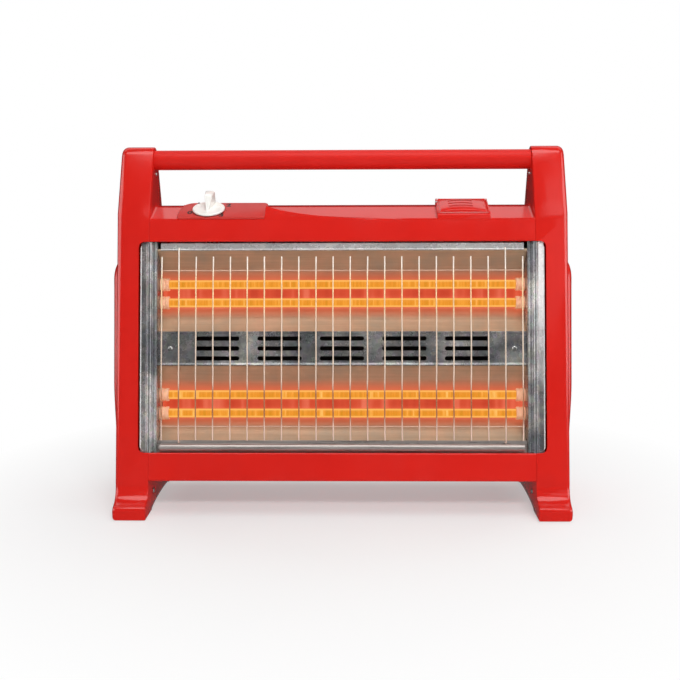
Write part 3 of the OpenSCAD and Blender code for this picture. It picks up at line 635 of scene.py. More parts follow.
def beveled(made, width, segments, corner, **settings):
    """Rounds each edge where two faces meet at more than corner degrees; width in millimetres."""
    return modified(made, "BEVEL", width=width * MM, segments=segments, limit_method="ANGLE",
                    angle_limit=radians(corner), **settings)


def box_tool(low, high, frame_at=leaned):
    """A box between two corners, in the leaned frame or another one; a tool for cut."""
    build = bmesh.new()
    ends = [(low[i], high[i]) for i in range(3)]
    ring = [(0, 0), (1, 0), (1, 1), (0, 1)]
    rows = [[build.verts.new(frame_at(ends[0][a], ends[1][b], ends[2][c])) for a, b in ring] for c in (0, 1)]
    build.faces.new(rows[0][::-1])
    build.faces.new(rows[1])
    for k in range(4):
        n = (k + 1) % 4
        build.faces.new((rows[0][k], rows[0][n], rows[1][n], rows[1][k]))
    return object_from("tool", mesh_from("tool", build))


def upright(x, y, z):
    """Millimetres in the object's own frame to metres."""
    return Vector((x, y, z)) * MM


def rod_tool(start, end, radius, sides=48):
    """A round bar between two points in metres, radius in millimetres; a tool for cut."""
    start, end = Vector(start), Vector(end)
    turn = (end - start).to_track_quat("Z", "Y").to_matrix().to_4x4()
    build = bmesh.new()
    bmesh.ops.create_cone(build, cap_ends=True, segments=sides, radius1=radius * MM, radius2=radius * MM,
                          depth=(end - start).length)
    build.transform(Matrix.Translation((start + end) / 2) @ turn)
    return object_from("tool", mesh_from("tool", build))


def mirrored(made, name):
    """A copy on the other side of the middle, turned the right way out again."""
    build = bmesh.new()
    build.from_mesh(made.data)
    build.transform(Matrix.Scale(-1, 4, (1, 0, 0)))
    return object_from(name, mesh_from(name, build))


def both_sides(right, left_name, slot, node):
    """Mirrors a right piece and finishes both; node is the CAD node's name after right_ or left_."""
    left = mirrored(right, left_name)
    finish_piece(right, slot, stands_for=["right_" + node])
    finish_piece(left, slot, stands_for=["left_" + node])
    return left


def softened(node, width):
    """A copy of a CAD node with its flat faces joined and its corners rounded."""
    build = bmesh.new()
    build.from_mesh(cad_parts[node].data)
    bmesh.ops.remove_doubles(build, verts=build.verts, dist=2e-6)
    bmesh.ops.dissolve_limit(build, angle_limit=radians(1), verts=build.verts, edges=build.edges)
    made = object_from(node + "_piece", mesh_as_it_is(node, build))
    return beveled(made, width, 2, 35, miter_outer="MITER_ARC")


print("helpers ready")

# %% [markdown]
# ## Paths and sheets
# Most of this heater is folded sheet. A real fold has a small radius and keeps the sheet's
# thickness. Drawing each profile point by point would be slow, so a fold is written as a path with
# plain corners: `rounded` turns the corners into bends, and `walled` gives the path its thickness.

# %% Path helpers
def rounded(points, radius, steps=5, closed=False):
    """The path with each corner turned into a curve that starts radius away from it."""
    count = len(points)
    made = []
    for k, corner in enumerate(points):
        if not closed and k in (0, count - 1):
            made.append(tuple(corner))
            continue
        corner = Vector(corner)
        before = Vector(points[k - 1]) - corner
        after = Vector(points[(k + 1) % count]) - corner
        start = corner + before.normalized() * min(radius, before.length * 0.48)
        end = corner + after.normalized() * min(radius, after.length * 0.48)
        for j in range(steps + 1):
            t = j / steps
            made.append(tuple(start * (1 - t) ** 2 + corner * 2 * t * (1 - t) + end * t * t))
    return made


def beside(points, gap, closed=False):
    """The path moved sideways by gap, to the left of its direction."""
    count = len(points)
    made = []
    for k in range(count):
        here = Vector(points[k])
        before = Vector(points[k - 1]) if closed or k > 0 else here
        after = Vector(points[(k + 1) % count]) if closed or k < count - 1 else here
        one = (here - before).normalized() if (here - before).length > 1e-9 else None
        two = (after - here).normalized() if (after - here).length > 1e-9 else one
        one = one or two
        side = Vector((-(one + two).y, (one + two).x)).normalized()
        reach = max(side.dot(Vector((-one.y, one.x))), 0.5)
        made.append(tuple(here + side * gap / reach))
    return made


def walled(path, thickness):
    """A closed outline of even thickness around a path."""
    return beside(path, thickness / 2) + beside(path, -thickness / 2)[::-1]


def drawn_along(outline, stations, at):
    """A bmesh of an outline repeated at each station; at(a, b, station) gives the point."""
    return shell([[at(a, b, where) for a, b in outline] for where in stations])


def across(outline, x0, x1, name, frame_at=leaned):
    """An outline of (into, up) points drawn out along x."""
    build = drawn_along(outline, (x0, x1), lambda a, b, x: frame_at(x, a, b))
    return object_from(name, mesh_from(name, build))


def bar_along(name, path, radius, sides, at):
    """A round bar with its middle on a flat path; at(a, b, off) gives a point off the path's plane."""
    rings = []
    for k, (a, b) in enumerate(path):
        ahead = Vector(path[min(k + 1, len(path) - 1)]) - Vector(path[max(k - 1, 0)])
        side = Vector((-ahead.y, ahead.x)).normalized()
        ring = []
        for j in range(sides):
            turn = 2 * pi * j / sides
            offset = side * radius * cos(turn)
            ring.append(at(a + offset.x, b + offset.y, radius * sin(turn)))
        rings.append(ring)
    return object_from("tool", mesh_from(name, shell(rings)))


def smooth_max(a, b, soft):
    """The larger of two heights, blended where they are close."""
    near = max(soft - abs(a - b), 0.0) / soft
    return max(a, b) + near * near * soft / 4


def ease(t):
    """0 to 1, slow at both ends."""
    t = min(max(t, 0.0), 1.0)
    return t * t * (3 - 2 * t)


# %% [markdown]
# ## Side columns and feet
# Each column is a moulded tray standing on edge: a side outline with a toe, a crown around the
# handle and a heel, closed on its inner side. It could be a beveled extrusion, but then every edge
# would round alike. Lofting rings of the outline, each drawn in a little more, gives the real one:
# a small radius on the inner edge and a generous one on the outer edge, wider still at the crown.

# %% Side columns
RIM = 6.0
TOE_Y = -95.0
HEEL_Y = 95.0
HANDLE_Y = 35.0
HANDLE_Z = (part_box("handle_tube")[0].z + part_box("handle_tube")[1].z) / 2 / MM
CROWN_R = 16
COVER_TOP = leaned(0, 0, BODY_S).z / MM + 37 * sin(SLOPE) + 1.7
KNEE_Z = COVER_TOP - 9
REAR_Y = HEEL_Y - 31
REAR_TOP = COVER_TOP - 19


def column_outline(i):
    """Side outline (y, z) of a column with its foot, drawn in by i."""
    toe = arc((TOE_Y + 5 + i / 2, 12 - i / 2), 5 - i / 2, 180, 100, 8)
    instep = arc((front_y(39) - 22, 39), 22 + i, -80 + 1.7 * i, 0, 16)
    knee = [(front_y(KNEE_Z) + i - 1.9, KNEE_Z - 10), (front_y(KNEE_Z) + i, KNEE_Z)]
    crown = arc((HANDLE_Y, HANDLE_Z), CROWN_R - i, 155, 17, 36)
    back = rounded([crown[-1], (HANDLE_Y + 18.5 - i, HANDLE_Z - 11.5), (HANDLE_Y + 32 - i, COVER_TOP),
                    (HANDLE_Y + 36 - i, COVER_TOP - 20), (HEEL_Y - 11 - i, 62)], 12, 6)[1:-1]
    heel_end = 180 + 57 * (1 - i / 80)
    heel = arc((HEEL_Y + 12, 40), 22 + i, 165, heel_end, 12)
    arch = [(58 * cos(a), 1 + i + 5 * sin(a)) for a in [pi * k / 24 for k in range(25)]]
    return ([(TOE_Y + i, 1.0 + i)] + toe + instep + knee + crown + back + heel
            + [(HEEL_Y - i, 1.0 + i), (HEEL_Y - 32, 1.0 + i)] + arch)


def column_ring(x, insets):
    """The outline at x, each of its points drawn in by its own inset."""
    plain, deep = column_outline(0), column_outline(RIM)
    ring = []
    for (y0, z0), (y1, z1), inset in zip(plain, deep, insets):
        t = inset / RIM
        ring.append(upright(x, y0 + (y1 - y0) * t, z0 + (z1 - z0) * t))
    return ring


def outer_radius(z):
    """Radius of the column's outer edge at height z: widest at the crown."""
    return 4.6 + 2.6 * ease((z - 50) / 70) + 0.8 * ease((z - HANDLE_Z + 20) / 30)


def column_mesh():
    heights = [p[1] for p in column_outline(0)]
    inner_edge = ((0, 1.2), (0.35, 0.35), (1.2, 0))
    rings = [column_ring(INNER_X + x, [inset] * len(heights)) for x, inset in inner_edge]
    turns = [radians(90 * k / 8) for k in range(9)]
    for a in turns:
        radii = [outer_radius(z) for z in heights]
        ring = column_ring(0, [r * (1 - cos(a)) for r in radii])
        for point, r in zip(ring, radii):
            point.x = (OUTER_X - r + r * sin(a)) * MM
        rings.append(ring)
    rings.append(column_ring(OUTER_X, [max(5.4, outer_radius(z)) for z in heights]))
    rings.append(column_ring(OUTER_X - 0.5, [max(5.8, outer_radius(z) + 0.4) for z in heights]))
    rings.append(column_ring(INNER_X + 3, [max(5.8, outer_radius(z) + 0.4) for z in heights]))
    return mesh_from("column", shell(rings))


def window_opening(reach):
    """The front opening between the columns: a block with its outer corners rounded."""
    foot, head = WINDOW_S
    outline = rounded([(-reach, foot), (reach, foot), (reach, head), (-reach, head)], 8, 8, closed=True)
    build = drawn_along(outline, (-20, 4), lambda x, s, d: leaned(x, d, s))
    return object_from("tool", mesh_from("tool", build))


right_column = object_from("right_side_column", column_mesh())
cut(right_column, window_opening(WINDOW_X),
    box_tool((INNER_X - 5, 3.99, WINDOW_S[0] - 3), (WINDOW_X + 4.5, 11, WINDOW_S[1] + 3)),
    box_tool((INNER_X - 5, 10, WINDOW_S[0] + 6), (INNER_X + 3.5, 56, WINDOW_S[1] - 2)),
    rod_tool(upright(INNER_X - 5, HANDLE_Y, HANDLE_Z), upright(INNER_X + 12, HANDLE_Y, HANDLE_Z), 12.05, 64))
ledge = box_tool((INNER_X - 10, REAR_Y - 8, BODY_Z + 20), (INNER_X + 1, REAR_Y, REAR_TOP - 8), upright)
cut(right_column, ledge, how="UNION")
both_sides(right_column, "left_side_column", "red_plastic", "column")
print("column faces:", len(right_column.data.polygons))

# %% [markdown]
# ## Raised outer covers
# A cover closes each tray from outside. Its edge shows as a fine groove inside the column's outer
# radius, and a long pillow swells from its middle, with a crisp crease where it starts. The pillow
# is a grid over its side outline whose height follows two simple profiles, one up and one across.

# %% Outer covers
BULGE = 8.0
BULGE_Z = 270.0


def pillow_row(z):
    """Front and rear edge of the pillow at height z."""
    front = front_y(min(z, BULGE_Z)) + 10
    rear = HEEL_Y - 25 - 8 * (min(z, BULGE_Z) - 58) / (BULGE_Z - 58)
    if z > BULGE_Z:
        middle, half = (front + rear) / 2, (rear - front) / 2
        half *= sqrt(max(1 - ((z - BULGE_Z) / 31) ** 2, 0.0))
        return middle - half, middle + half
    return front, rear


def pillow_height(z, t):
    """How far the pillow stands out at height z, t from 0 at its front edge to 1 at its rear."""
    rise = ease((z - 46) / 110)
    if z > BULGE_Z + 11:
        rise = sqrt(max(1 - ((z - BULGE_Z - 11) / 20.0) ** 2, 0.0))
    edge = sqrt(max(1 - abs(2 * t - 1) ** 5, 0.0))
    return BULGE * rise * edge


def cover_mesh():
    heights = [p[1] for p in column_outline(0)]
    base = [max(6.1, outer_radius(z) + 0.7) for z in heights]
    rings = [column_ring(OUTER_X - 3, base)]
    for x, more in ((-1.0, 0), (-0.35, 0.25), (0, 1.0)):
        rings.append(column_ring(OUTER_X + x, [inset + more for inset in base]))
    return mesh_from("cover", shell(rings))


def pillow_mesh():
    build = bmesh.new()
    rows = 64
    columns = 28
    levels = [58 + (BULGE_Z + 30.6 - 58) * sin(pi / 2 * k / rows) for k in range(rows + 1)]
    sheets = []
    for lift in (0, 1):
        sheet = []
        for z in levels:
            front, rear = pillow_row(z)
            row = []
            for k in range(columns + 1):
                t = 0.5 - 0.5 * cos(pi * k / columns)
                out = pillow_height(z, t) if lift else -1.0
                row.append(build.verts.new(upright(OUTER_X + out, front + (rear - front) * t, z)))
            sheet.append(row)
        sheets.append(sheet)
    low, high = sheets
    for sheet in sheets:
        for one, two in zip(sheet, sheet[1:]):
            for k in range(columns):
                build.faces.new((one[k], one[k + 1], two[k + 1], two[k]))
    rim = [(r, 0) for r in range(rows + 1)] + [(rows, k) for k in range(1, columns + 1)]
    rim += [(r, columns) for r in range(rows - 1, -1, -1)] + [(0, k) for k in range(columns - 1, 0, -1)]
    for (r1, k1), (r2, k2) in zip(rim, rim[1:] + rim[:1]):
        build.faces.new((low[r1][k1], low[r2][k2], high[r2][k2], high[r1][k1]))
    return mesh_from("pillow", build)


right_cover = object_from("right_outer_cover", cover_mesh())
cut(right_cover, object_from("tool", pillow_mesh()), how="UNION")
both_sides(right_cover, "left_outer_cover", "red_plastic", "column_cover")

# %% [markdown]
# ## Handle tube
# A drawn steel tube, enamelled, pushed into a socket in each column. It is the one really round
# part of the silhouette, so it gets plenty of sides, and its ends are drawn in a little as the real
# tube's are, where it enters the sockets.

# %% Handle tube
def lying(build, x, y, z):
    """Turns a lathed bmesh from the Z axis to the X axis and moves it, in millimetres."""
    build.transform(Matrix.Translation(upright(x, y, z)) @ Matrix.Rotation(pi / 2, 4, "Y"))
    return build


tube_end = INNER_X + 12
tube_profile = [(10.6, -tube_end), (11.4, -tube_end), (11.9, -INNER_X - 1), (12, -INNER_X + 2),
                (12, -80), (12, 0), (12, 80),
                (12, INNER_X - 2), (11.9, INNER_X + 1), (11.4, tube_end), (10.6, tube_end), (10.6, -tube_end)]
handle_build = lying(lathe(tube_profile, 96), 0, HANDLE_Y, HANDLE_Z)
handle = object_from("carrying_handle", mesh_from("handle", handle_build))
finish_piece(handle, "red_paint", stands_for=["handle_tube"], finish="satin_red")

# %% [markdown]
# ## Top cover
# The cover is one moulding: a short front wall flush with the fascia, the sloping control panel, and
# a crowned back. At both ends it flares up into the columns, and beside the bezel its front edge
# sweeps up. It could be cut together from blocks, but the flares would be hard to blend. Here each
# slice across the heater is worked out from the same rule, and the slices are lofted.

# %% Top cover slices
SLOPE_LEN = 37.0
COVER_BACK = REAR_Y + 2
COVER_T = 2.6
BEZEL = (-199.0, -91.0)
SWEEP = 16.5
FLARE = 3.6


def sweep_rise(x):
    """Height of the sweep beside the bezel, measured up the front plane."""
    t = x - BEZEL[1]
    if t < 0:
        return 0.0
    return max(SWEEP * exp(-t / 55) - 0.0056 * t, 0.0)


def flare_rise(x, radius):
    """Height of the flare beside a column."""
    t = max(INNER_X - abs(x), 0.0)
    if t >= radius:
        return 0.0
    return radius - sqrt(radius * radius - (radius - t) ** 2)


def surface_s(x, d):
    """Height of the cover's outer surface above its depth d, in the leaned frame."""
    slope_s = BODY_S + d * sin(SLOPE + LEAN) / cos(SLOPE + LEAN)
    ledge_s = BODY_S + sweep_rise(x)
    height = smooth_max(slope_s, ledge_s, 1.6) if ledge_s > BODY_S + 0.05 else slope_s
    return height + min(flare_rise(x, FLARE), FLARE * 0.98)


def slice_points(x):
    """Outer points of the slice at x, from the front wall's foot to the rear edge, as (y, z)."""
    bend = 1.3
    top = surface_s(x, 0)
    points = [(0, BODY_S), (0, max(top - bend, BODY_S + 0.02))]
    points += [(bend * 0.25, top - bend * 0.28 + 0.1), (bend, surface_s(x, bend))]
    points = [(p[0], max(p[1], BODY_S + 0.02)) for p in points]
    depth = SLOPE_LEN * cos(SLOPE + LEAN)
    depths = [bend + (depth - bend) * k / 26 for k in range(1, 27)]
    points += [(d, surface_s(x, d)) for d in depths]
    made = [(leaned(x, d, s).y / MM, leaned(x, d, s).z / MM) for d, s in points]
    crown = [(COVER_BACK - 30, COVER_TOP - 0.3), (COVER_BACK - 20, COVER_TOP),
             (COVER_BACK - 10, COVER_TOP - 1.5), (COVER_BACK - 3, COVER_TOP - 5.5),
             (COVER_BACK, COVER_TOP - 11), (COVER_BACK, REAR_TOP)]
    flare = flare_rise(x, FLARE)
    back = rounded([made[-1]] + [(y, z + flare) for y, z in crown[:3]] + crown[3:], 5, 5)[1:]
    return made + back


def inner_points():
    """Inner points of every slice, from the rear edge back to the front wall's foot."""
    back = [(COVER_BACK - 3.2, REAR_TOP), (COVER_BACK - 3.2, COVER_TOP - 12), (COVER_BACK - 6, COVER_TOP - 7),
            (COVER_BACK - 12, COVER_TOP - 4), (COVER_BACK - 20, COVER_TOP - COVER_T),
            (COVER_BACK - 29, COVER_TOP - COVER_T - 0.4)]
    slope = [on_slope(0, u, -COVER_T) / MM for u in (SLOPE_LEN, 9)]
    foot = [leaned(0, d, s) / MM for d, s in ((6, BODY_S), (2.4, BODY_S))]
    return back + [(p.y, p.z) for p in slope + foot]


# %% Loft the cover
def cover_stations():
    """Places of the slices: close together in the flares and where the sweep starts."""
    ends = [INNER_X - FLARE * (1 - cos(pi / 2 * k / 10)) for k in range(11)]
    inner = [(INNER_X - FLARE) * (1 - k / 44) for k in range(1, 45)]
    near = [-BEZEL[1] + g for g in (0.0, -0.15, -1, -2.5, -4, -6, -8.5, -11, -14, -18)]
    half = sorted(set(ends + inner))
    stations = [-x for x in half] + half + [-x for x in near]
    return sorted(set(round(x, 4) for x in stations))


def top_cover_mesh():
    hidden = inner_points()
    rings = []
    for x in cover_stations():
        rings.append([upright(x, y, z) for y, z in slice_points(x) + hidden])
    return mesh_from("top_cover", shell(rings))


WELL_X = (117.0, 175.0)
POD = (WELL_X[0] - 2.6, WELL_X[1] + 3.6)
POD_X = sum(POD) / 2
WELL_U = (7.0, 38.0)
RIM_V = 5.0
KNOB_X = -162.0
KNOB_U = 21.3

top_cover = object_from("top_cover_moulding", top_cover_mesh())
wedge_outline = [on_slope(0, SLOPE_LEN - 7, -1), on_slope(0, SLOPE_LEN - 7, 0), on_slope(0, 44, 0)]
wedge_outline = [(p.y / MM, p.z / MM) for p in wedge_outline]
wedge_outline.append((wedge_outline[-1][0], COVER_TOP - 2))
wedge = across(wedge_outline, BEZEL[0] + 3, BEZEL[1] - 3, "tool", upright)
collar = box_tool((POD[0], -6, -1), (POD[1], WELL_U[1] + 6, RIM_V), on_slope)
cut(collar, box_tool((POD[0] - 5, 0, BODY_S - 5), (POD[1] + 5, 60, BODY_S + 40)), how="INTERSECT")
beveled(collar, 1.1, 3, 30)
cut(top_cover, wedge, collar, how="UNION")
cut(top_cover, box_tool((WELL_X[0], WELL_U[0], -8), (WELL_X[1], WELL_U[1], 9), on_slope),
    rod_tool(on_slope(KNOB_X, KNOB_U, -8), on_slope(KNOB_X, KNOB_U, 5), 4.8))
finish_piece(top_cover, "red_plastic", stands_for=["top_cover"], corner=26)
print("top cover faces:", len(top_cover.data.polygons))

# %% [markdown]
# ## Fascia rails and housing sheets
# The red rails above and below the window are folded steel. The upper one is a channel whose fold
# over the window is rounded, and the lower one ends in a rolled lip, the thin bright line at the
# foot of the heater. Both are one path with a thickness, drawn out along the heater.

# %% Fascias
window_foot, window_head = WINDOW_S
upper_path = [(3.6, window_head + 0.6), (0.6, window_head + 0.6), (0.6, BODY_S - 0.6), (6, BODY_S - 0.6)]
upper_outline = [(max(d, 0.0), s) for d, s in walled(rounded(upper_path, 1.0, 5), 1.2)]
upper_fascia = across(upper_outline, -INNER_X, INNER_X, "upper_fascia_rail")
square_top = box_tool((-INNER_X, 0, BODY_S - 3), (INNER_X, 1.2, BODY_S))
cut(upper_fascia, square_top, how="UNION")
finish_piece(upper_fascia, "red_paint", stands_for=["upper_fascia"])

lip = [(1.9 + 1.3 * cos(radians(a)), 1.9 + 1.3 * sin(radians(a))) for a in range(60, -181, -20)]
lower_path = lip + rounded([(0.6, 3.2), (0.6, window_foot - 0.6), (10.2, window_foot - 0.6)], 1.6, 6)
lower_fascia = across(walled(lower_path, 1.2), -INNER_X, INNER_X, "lower_fascia_rail")
flange = across([(BODY_Y + 1.5, BODY_Z), (BODY_Y + 14, BODY_Z), (BODY_Y + 14, BODY_Z + 1.2),
                 (BODY_Y + 1.5, BODY_Z + 1.2)], -INNER_X, INNER_X, "tool", upright)
cut(lower_fascia, flange, how="UNION")
finish_piece(lower_fascia, "red_paint", stands_for=["lower_fascia"])

# %% [markdown]
# ## Slots by the row
# The centre panel and the back are punched with rows of slots. Punching them one by one in Python
# works, but a field of slots is one rule: so many columns and rows at a pitch, each a filleted
# rectangle. A Geometry Nodes tree holds that rule, and its result is used as the punch.

# %% A tree for fields of slots
def new_tree(name, **inputs):
    """An empty geometry tree with a Geometry input and output and named number inputs."""
    tree = bpy.data.node_groups.new(name, "GeometryNodeTree")
    tree.interface.new_socket("Geometry", in_out="INPUT", socket_type="NodeSocketGeometry")
    tree.interface.new_socket("Geometry", in_out="OUTPUT", socket_type="NodeSocketGeometry")
    for key, default in inputs.items():
        kind = {int: "NodeSocketInt", float: "NodeSocketFloat"}.get(type(default), "NodeSocketVector")
        if isinstance(default, bpy.types.Material):
            kind = "NodeSocketMaterial"
        if isinstance(default, bpy.types.Object):
            kind = "NodeSocketObject"
        socket = tree.interface.new_socket(key, in_out="INPUT", socket_type=kind)
        socket.default_value = default
    start = tree.nodes.new("NodeGroupInput")
    end = tree.nodes.new("NodeGroupOutput")
    return tree, start.outputs, end.inputs[0]


def hand_over(tree, geometry, finish, result):
    """Gives the geometry its finish and makes it the tree's result."""
    coated = add(tree, "GeometryNodeSetMaterial", {"Geometry": geometry, "Material": finish})
    tree.links.new(coated.outputs[0], result)
    return tree


def grown(name, tree, base=None, **values):
    """Runs a tree on an object's mesh, or on nothing, with its named inputs set, to a plain mesh."""
    made = base or object_from(name, bpy.data.meshes.new(name))
    mod = made.modifiers.new("Grow", "NODES")
    mod.node_group = tree
    for item in tree.interface.items_tree:
        if item.in_out == "INPUT" and item.name in values:
            mod[item.identifier] = values[item.name]
    mesh = worked_out(made)
    made.modifiers.clear()
    made.data = mesh
    made.name = name
    return made


def slot_field_tree():
    tree, given, result = new_tree("slot_field", Columns=5, Rows=3, PitchX=0.0754, PitchZ=0.012,
                                   Width=0.052, Height=0.005, Depth=0.004)
    one_slot = add(tree, "GeometryNodeCurvePrimitiveQuadrilateral",
                   {"Width": given["Width"], "Height": given["Height"]}).outputs[0]
    end = math(tree, "MULTIPLY", given["Height"], 0.499)
    rounded_slot = add(tree, "GeometryNodeFilletCurve", {"Curve": one_slot, "Radius": end, "Count": 6,
                                                         "Limit Radius": True}, mode="POLY").outputs[0]
    line = add(tree, "GeometryNodeCurvePrimitiveLine", {"Start": (0, 0, 0)})
    top = add(tree, "ShaderNodeCombineXYZ", {"Z": given["Depth"]}).outputs[0]
    tree.links.new(top, line.inputs["End"])
    punch = add(tree, "GeometryNodeCurveToMesh", {"Curve": line.outputs[0], "Profile Curve": rounded_slot,
                                                  "Fill Caps": True}).outputs[0]
    span_x = math(tree, "ADD", given["Columns"], -1.0)
    span_z = math(tree, "ADD", given["Rows"], -1.0)
    wide = math(tree, "MULTIPLY", span_x, given["PitchX"])
    tall = math(tree, "MULTIPLY", span_z, given["PitchZ"])
    grid = add(tree, "GeometryNodeMeshGrid", {"Size X": wide, "Size Y": tall, "Vertices X": given["Columns"],
                                              "Vertices Y": given["Rows"]}).outputs[0]
    placed = add(tree, "GeometryNodeInstanceOnPoints", {"Points": grid, "Instance": punch}).outputs[0]
    real = add(tree, "GeometryNodeRealizeInstances", {"Geometry": placed}).outputs[0]
    return hand_over(tree, real, FINISH["galvanised"], result)


SLOT_FIELD = slot_field_tree()


def punches(center, columns, rows, pitch_x, pitch_z, width, height, depth, matrix):
    """A field of slot punches about center, in millimetres, standing on the plane of matrix."""
    made = grown("tool", SLOT_FIELD, Columns=columns, Rows=rows, PitchX=pitch_x * MM, PitchZ=pitch_z * MM,
                 Width=width * MM, Height=height * MM, Depth=depth * MM)
    build = bmesh.new()
    build.from_mesh(made.data)
    build.transform(Matrix.Translation(Vector((0, 0, -depth * MM / 2))))
    build.transform(Matrix.Translation(center) @ matrix)
    bmesh.ops.recalc_face_normals(build, faces=build.faces)
    build.to_mesh(made.data)
    build.free()
    return made


FACING = Matrix.Rotation(pi / 2, 4, "X")
FACING_LEANED = Matrix.Rotation(-LEAN, 4, "X") @ FACING

# %% [markdown]
# ## Galvanised parts in the window
# Behind the guard sit bare galvanised pieces: a strip under the upper rail with a hem, a rolled rail
# at the bottom, the slotted centre panel between the reflectors and the two side plates. They are
# what the glow plays on, so their folds and hems are real bends here, not flat boxes.

# %% Strip, rolled rail and centre panel
CHEEK_X = INNER_X - 9
STRIP_LOW = WINDOW_S[1] - 10.6
RAIL_S = WINDOW_S[0] + 6.1
PANEL_D = 13.0
PANEL_HALF = 21.0

strip_path = [(8.5, WINDOW_S[1] - 0.6), (5.2, WINDOW_S[1] - 1.4), (4.5, WINDOW_S[1] - 2.4),
              (4.5, STRIP_LOW + 2.2), (3.9, STRIP_LOW + 1.0), (4.6, STRIP_LOW + 0.5),
              (5.4, STRIP_LOW + 1.6), (5.4, STRIP_LOW + 3.5)]
top_strip = across(walled(rounded(strip_path, 0.6, 3), 0.8), -CHEEK_X + 4, CHEEK_X - 4, "top_strip_sheet")
finish_piece(top_strip, "galvanised", stands_for=["top_strip"], finish="pale_zinc")

curl = [(6 + 3.7 * cos(radians(a)), RAIL_S + 3.7 * sin(radians(a))) for a in range(0, -331, -15)]
rail_path = [(9.7, RAIL_S + 8.3), (9.7, RAIL_S + 2)] + curl
rolled_rail = across(walled(rail_path, 0.8), -CHEEK_X + 4, CHEEK_X - 4, "rolled_bottom_rail")
back_foot, back_head = WINDOW_S[0] + 0.2, RAIL_S + 8.3
rail_back = across([(9.9, back_foot), (10.2, back_foot), (10.2, back_head), (9.9, back_head)],
                   -CHEEK_X, CHEEK_X, "tool")
cut(rolled_rail, rail_back, how="UNION")
finish_piece(rolled_rail, "bright_steel", stands_for=["bottom_rail"])

low, high = MID_S - PANEL_HALF, MID_S + PANEL_HALF
panel_path = rounded([(PANEL_D + 0.6, low + 1.0), (PANEL_D - 1.2, low + 0.6), (PANEL_D - 0.6, low + 2.2),
                      (PANEL_D + 0.5, low + 3.4), (PANEL_D + 0.5, high - 3.4), (PANEL_D - 0.6, high - 2.2),
                      (PANEL_D - 1.2, high - 0.6), (PANEL_D + 0.6, high - 1.0)], 0.9, 4)
centre_panel = across(walled(panel_path, 0.8), -CHEEK_X, CHEEK_X, "slotted_centre_panel")
panel_slots = punches(leaned(0, PANEL_D + 0.5, MID_S), columns=5, rows=3, pitch_x=75.4, pitch_z=12,
                      width=53.6, height=5.2, depth=6, matrix=FACING_LEANED)
cut(centre_panel, panel_slots)
beveled(centre_panel, 0.25, 1, 60)
finish_piece(centre_panel, "galvanised", stands_for=["centre_panel"])

# %% [markdown]
# ## Side plates
# Each end of the window is closed by a galvanised plate. From the front it shows as a mottled strip
# with a pressed bead, and it then turns in beside the tubes. One path seen from above, drawn out up
# the leaned front, gives strip, bead and bend together. A thin rolled edge follows the opening.

# %% Side plates
TUBE_D = 26.0
CAP_NECK = 7.5


def side_plate():
    """The right plate: a large and two small holes at each tube, and gaps beside the reflectors."""
    edge = [(241.6, 4.9), (236.5, 4.7), (234.5, 4.4)]
    bead = [(233.2, 2.9), (230.6, 2.7), (229.2, 4.2)]
    hollow = [(228.4, 5.6), (225.8, 6.2), (224.4, 4.6)]
    bend_in = [(223.0, 4.5), (222.5, 6.5), (222.5, 46)]
    outline = walled(rounded(edge + bead + hollow + bend_in, 0.8, 4), 0.9)
    build = drawn_along(outline, (WINDOW_S[0], WINDOW_S[1] + 0.5), leaned)
    made = object_from("right_side_plate", mesh_from("plate", build))
    for s in TUBES:
        cut(made, rod_tool(leaned(CHEEK_X - 6, TUBE_D, s), leaned(CHEEK_X + 6, TUBE_D, s), CAP_NECK, 40))
        for side in (-8.2, 8.2):
            cut(made, rod_tool(leaned(CHEEK_X - 3, 14, s + side), leaned(CHEEK_X + 3, 14, s + side), 1.3, 16))
    low_gap = [(9, WINDOW_S[0] + 13), (12, WINDOW_S[0] + 12), (40, WINDOW_S[0] + 25), (38, WINDOW_S[0] + 27)]
    high_gap = [(9, WINDOW_S[1] - 17), (12, WINDOW_S[1] - 16), (28, WINDOW_S[1] - 29), (25, WINDOW_S[1] - 30)]
    for gap in (low_gap, high_gap):
        cut(made, across(gap, CHEEK_X - 3, CHEEK_X + 3, "tool"))
    return made


def window_edge_bead():
    """A thin roll that follows the opening's rounded corners; its outer side gets a painted highlight."""
    half = WINDOW_X - 2.2
    low, high = WINDOW_S[0] + 1.4, WINDOW_S[1] - 2.0
    path = rounded([(CHEEK_X + 2, low), (half, low), (half, high), (CHEEK_X + 2, high)], 7, 8)
    return bar_along("bead", path, 0.75, 8, lambda x, s, off: leaned(x, 4.2 + off, s))


TUBES = [MID_S + pair + tube for pair in (PAIR_RISE, -PAIR_RISE) for tube in (11.2, -11.2)]
right_plate = side_plate()
cut(right_plate, window_edge_bead(), how="UNION")
left_plate = both_sides(right_plate, "left_side_plate", "galvanised", "cheek")
# Painted highlight: both plates' rolled outer edges and the right plate's upper flat are painted white.
edge_x = (WINDOW_X - 2.85) * MM
painted_highlight_x = (WINDOW_X - 8.5) * MM
for plate in (right_plate, left_plate):
    refinish(plate, "zinc_edge_painted_highlight", lambda face: abs(face.center.x) > edge_x)
refinish(right_plate, "zinc_painted_highlight", lambda face: painted_highlight_x < face.center.x <= edge_x)
print("tubes at heights", [round(s, 1) for s in TUBES])

# %% [markdown]
# ## Reflectors
# Each pair of tubes lies in a trough of bright sheet, nearer the front at its outer edge and deeper
# at its inner edge. A parabola is the shape such a trough is pressed to, so the path is a formula,
# and the sheet gets its thickness, a flat flange at both edges and slight dents from its finish.

# %% Reflectors
TROUGH_D = 42.0


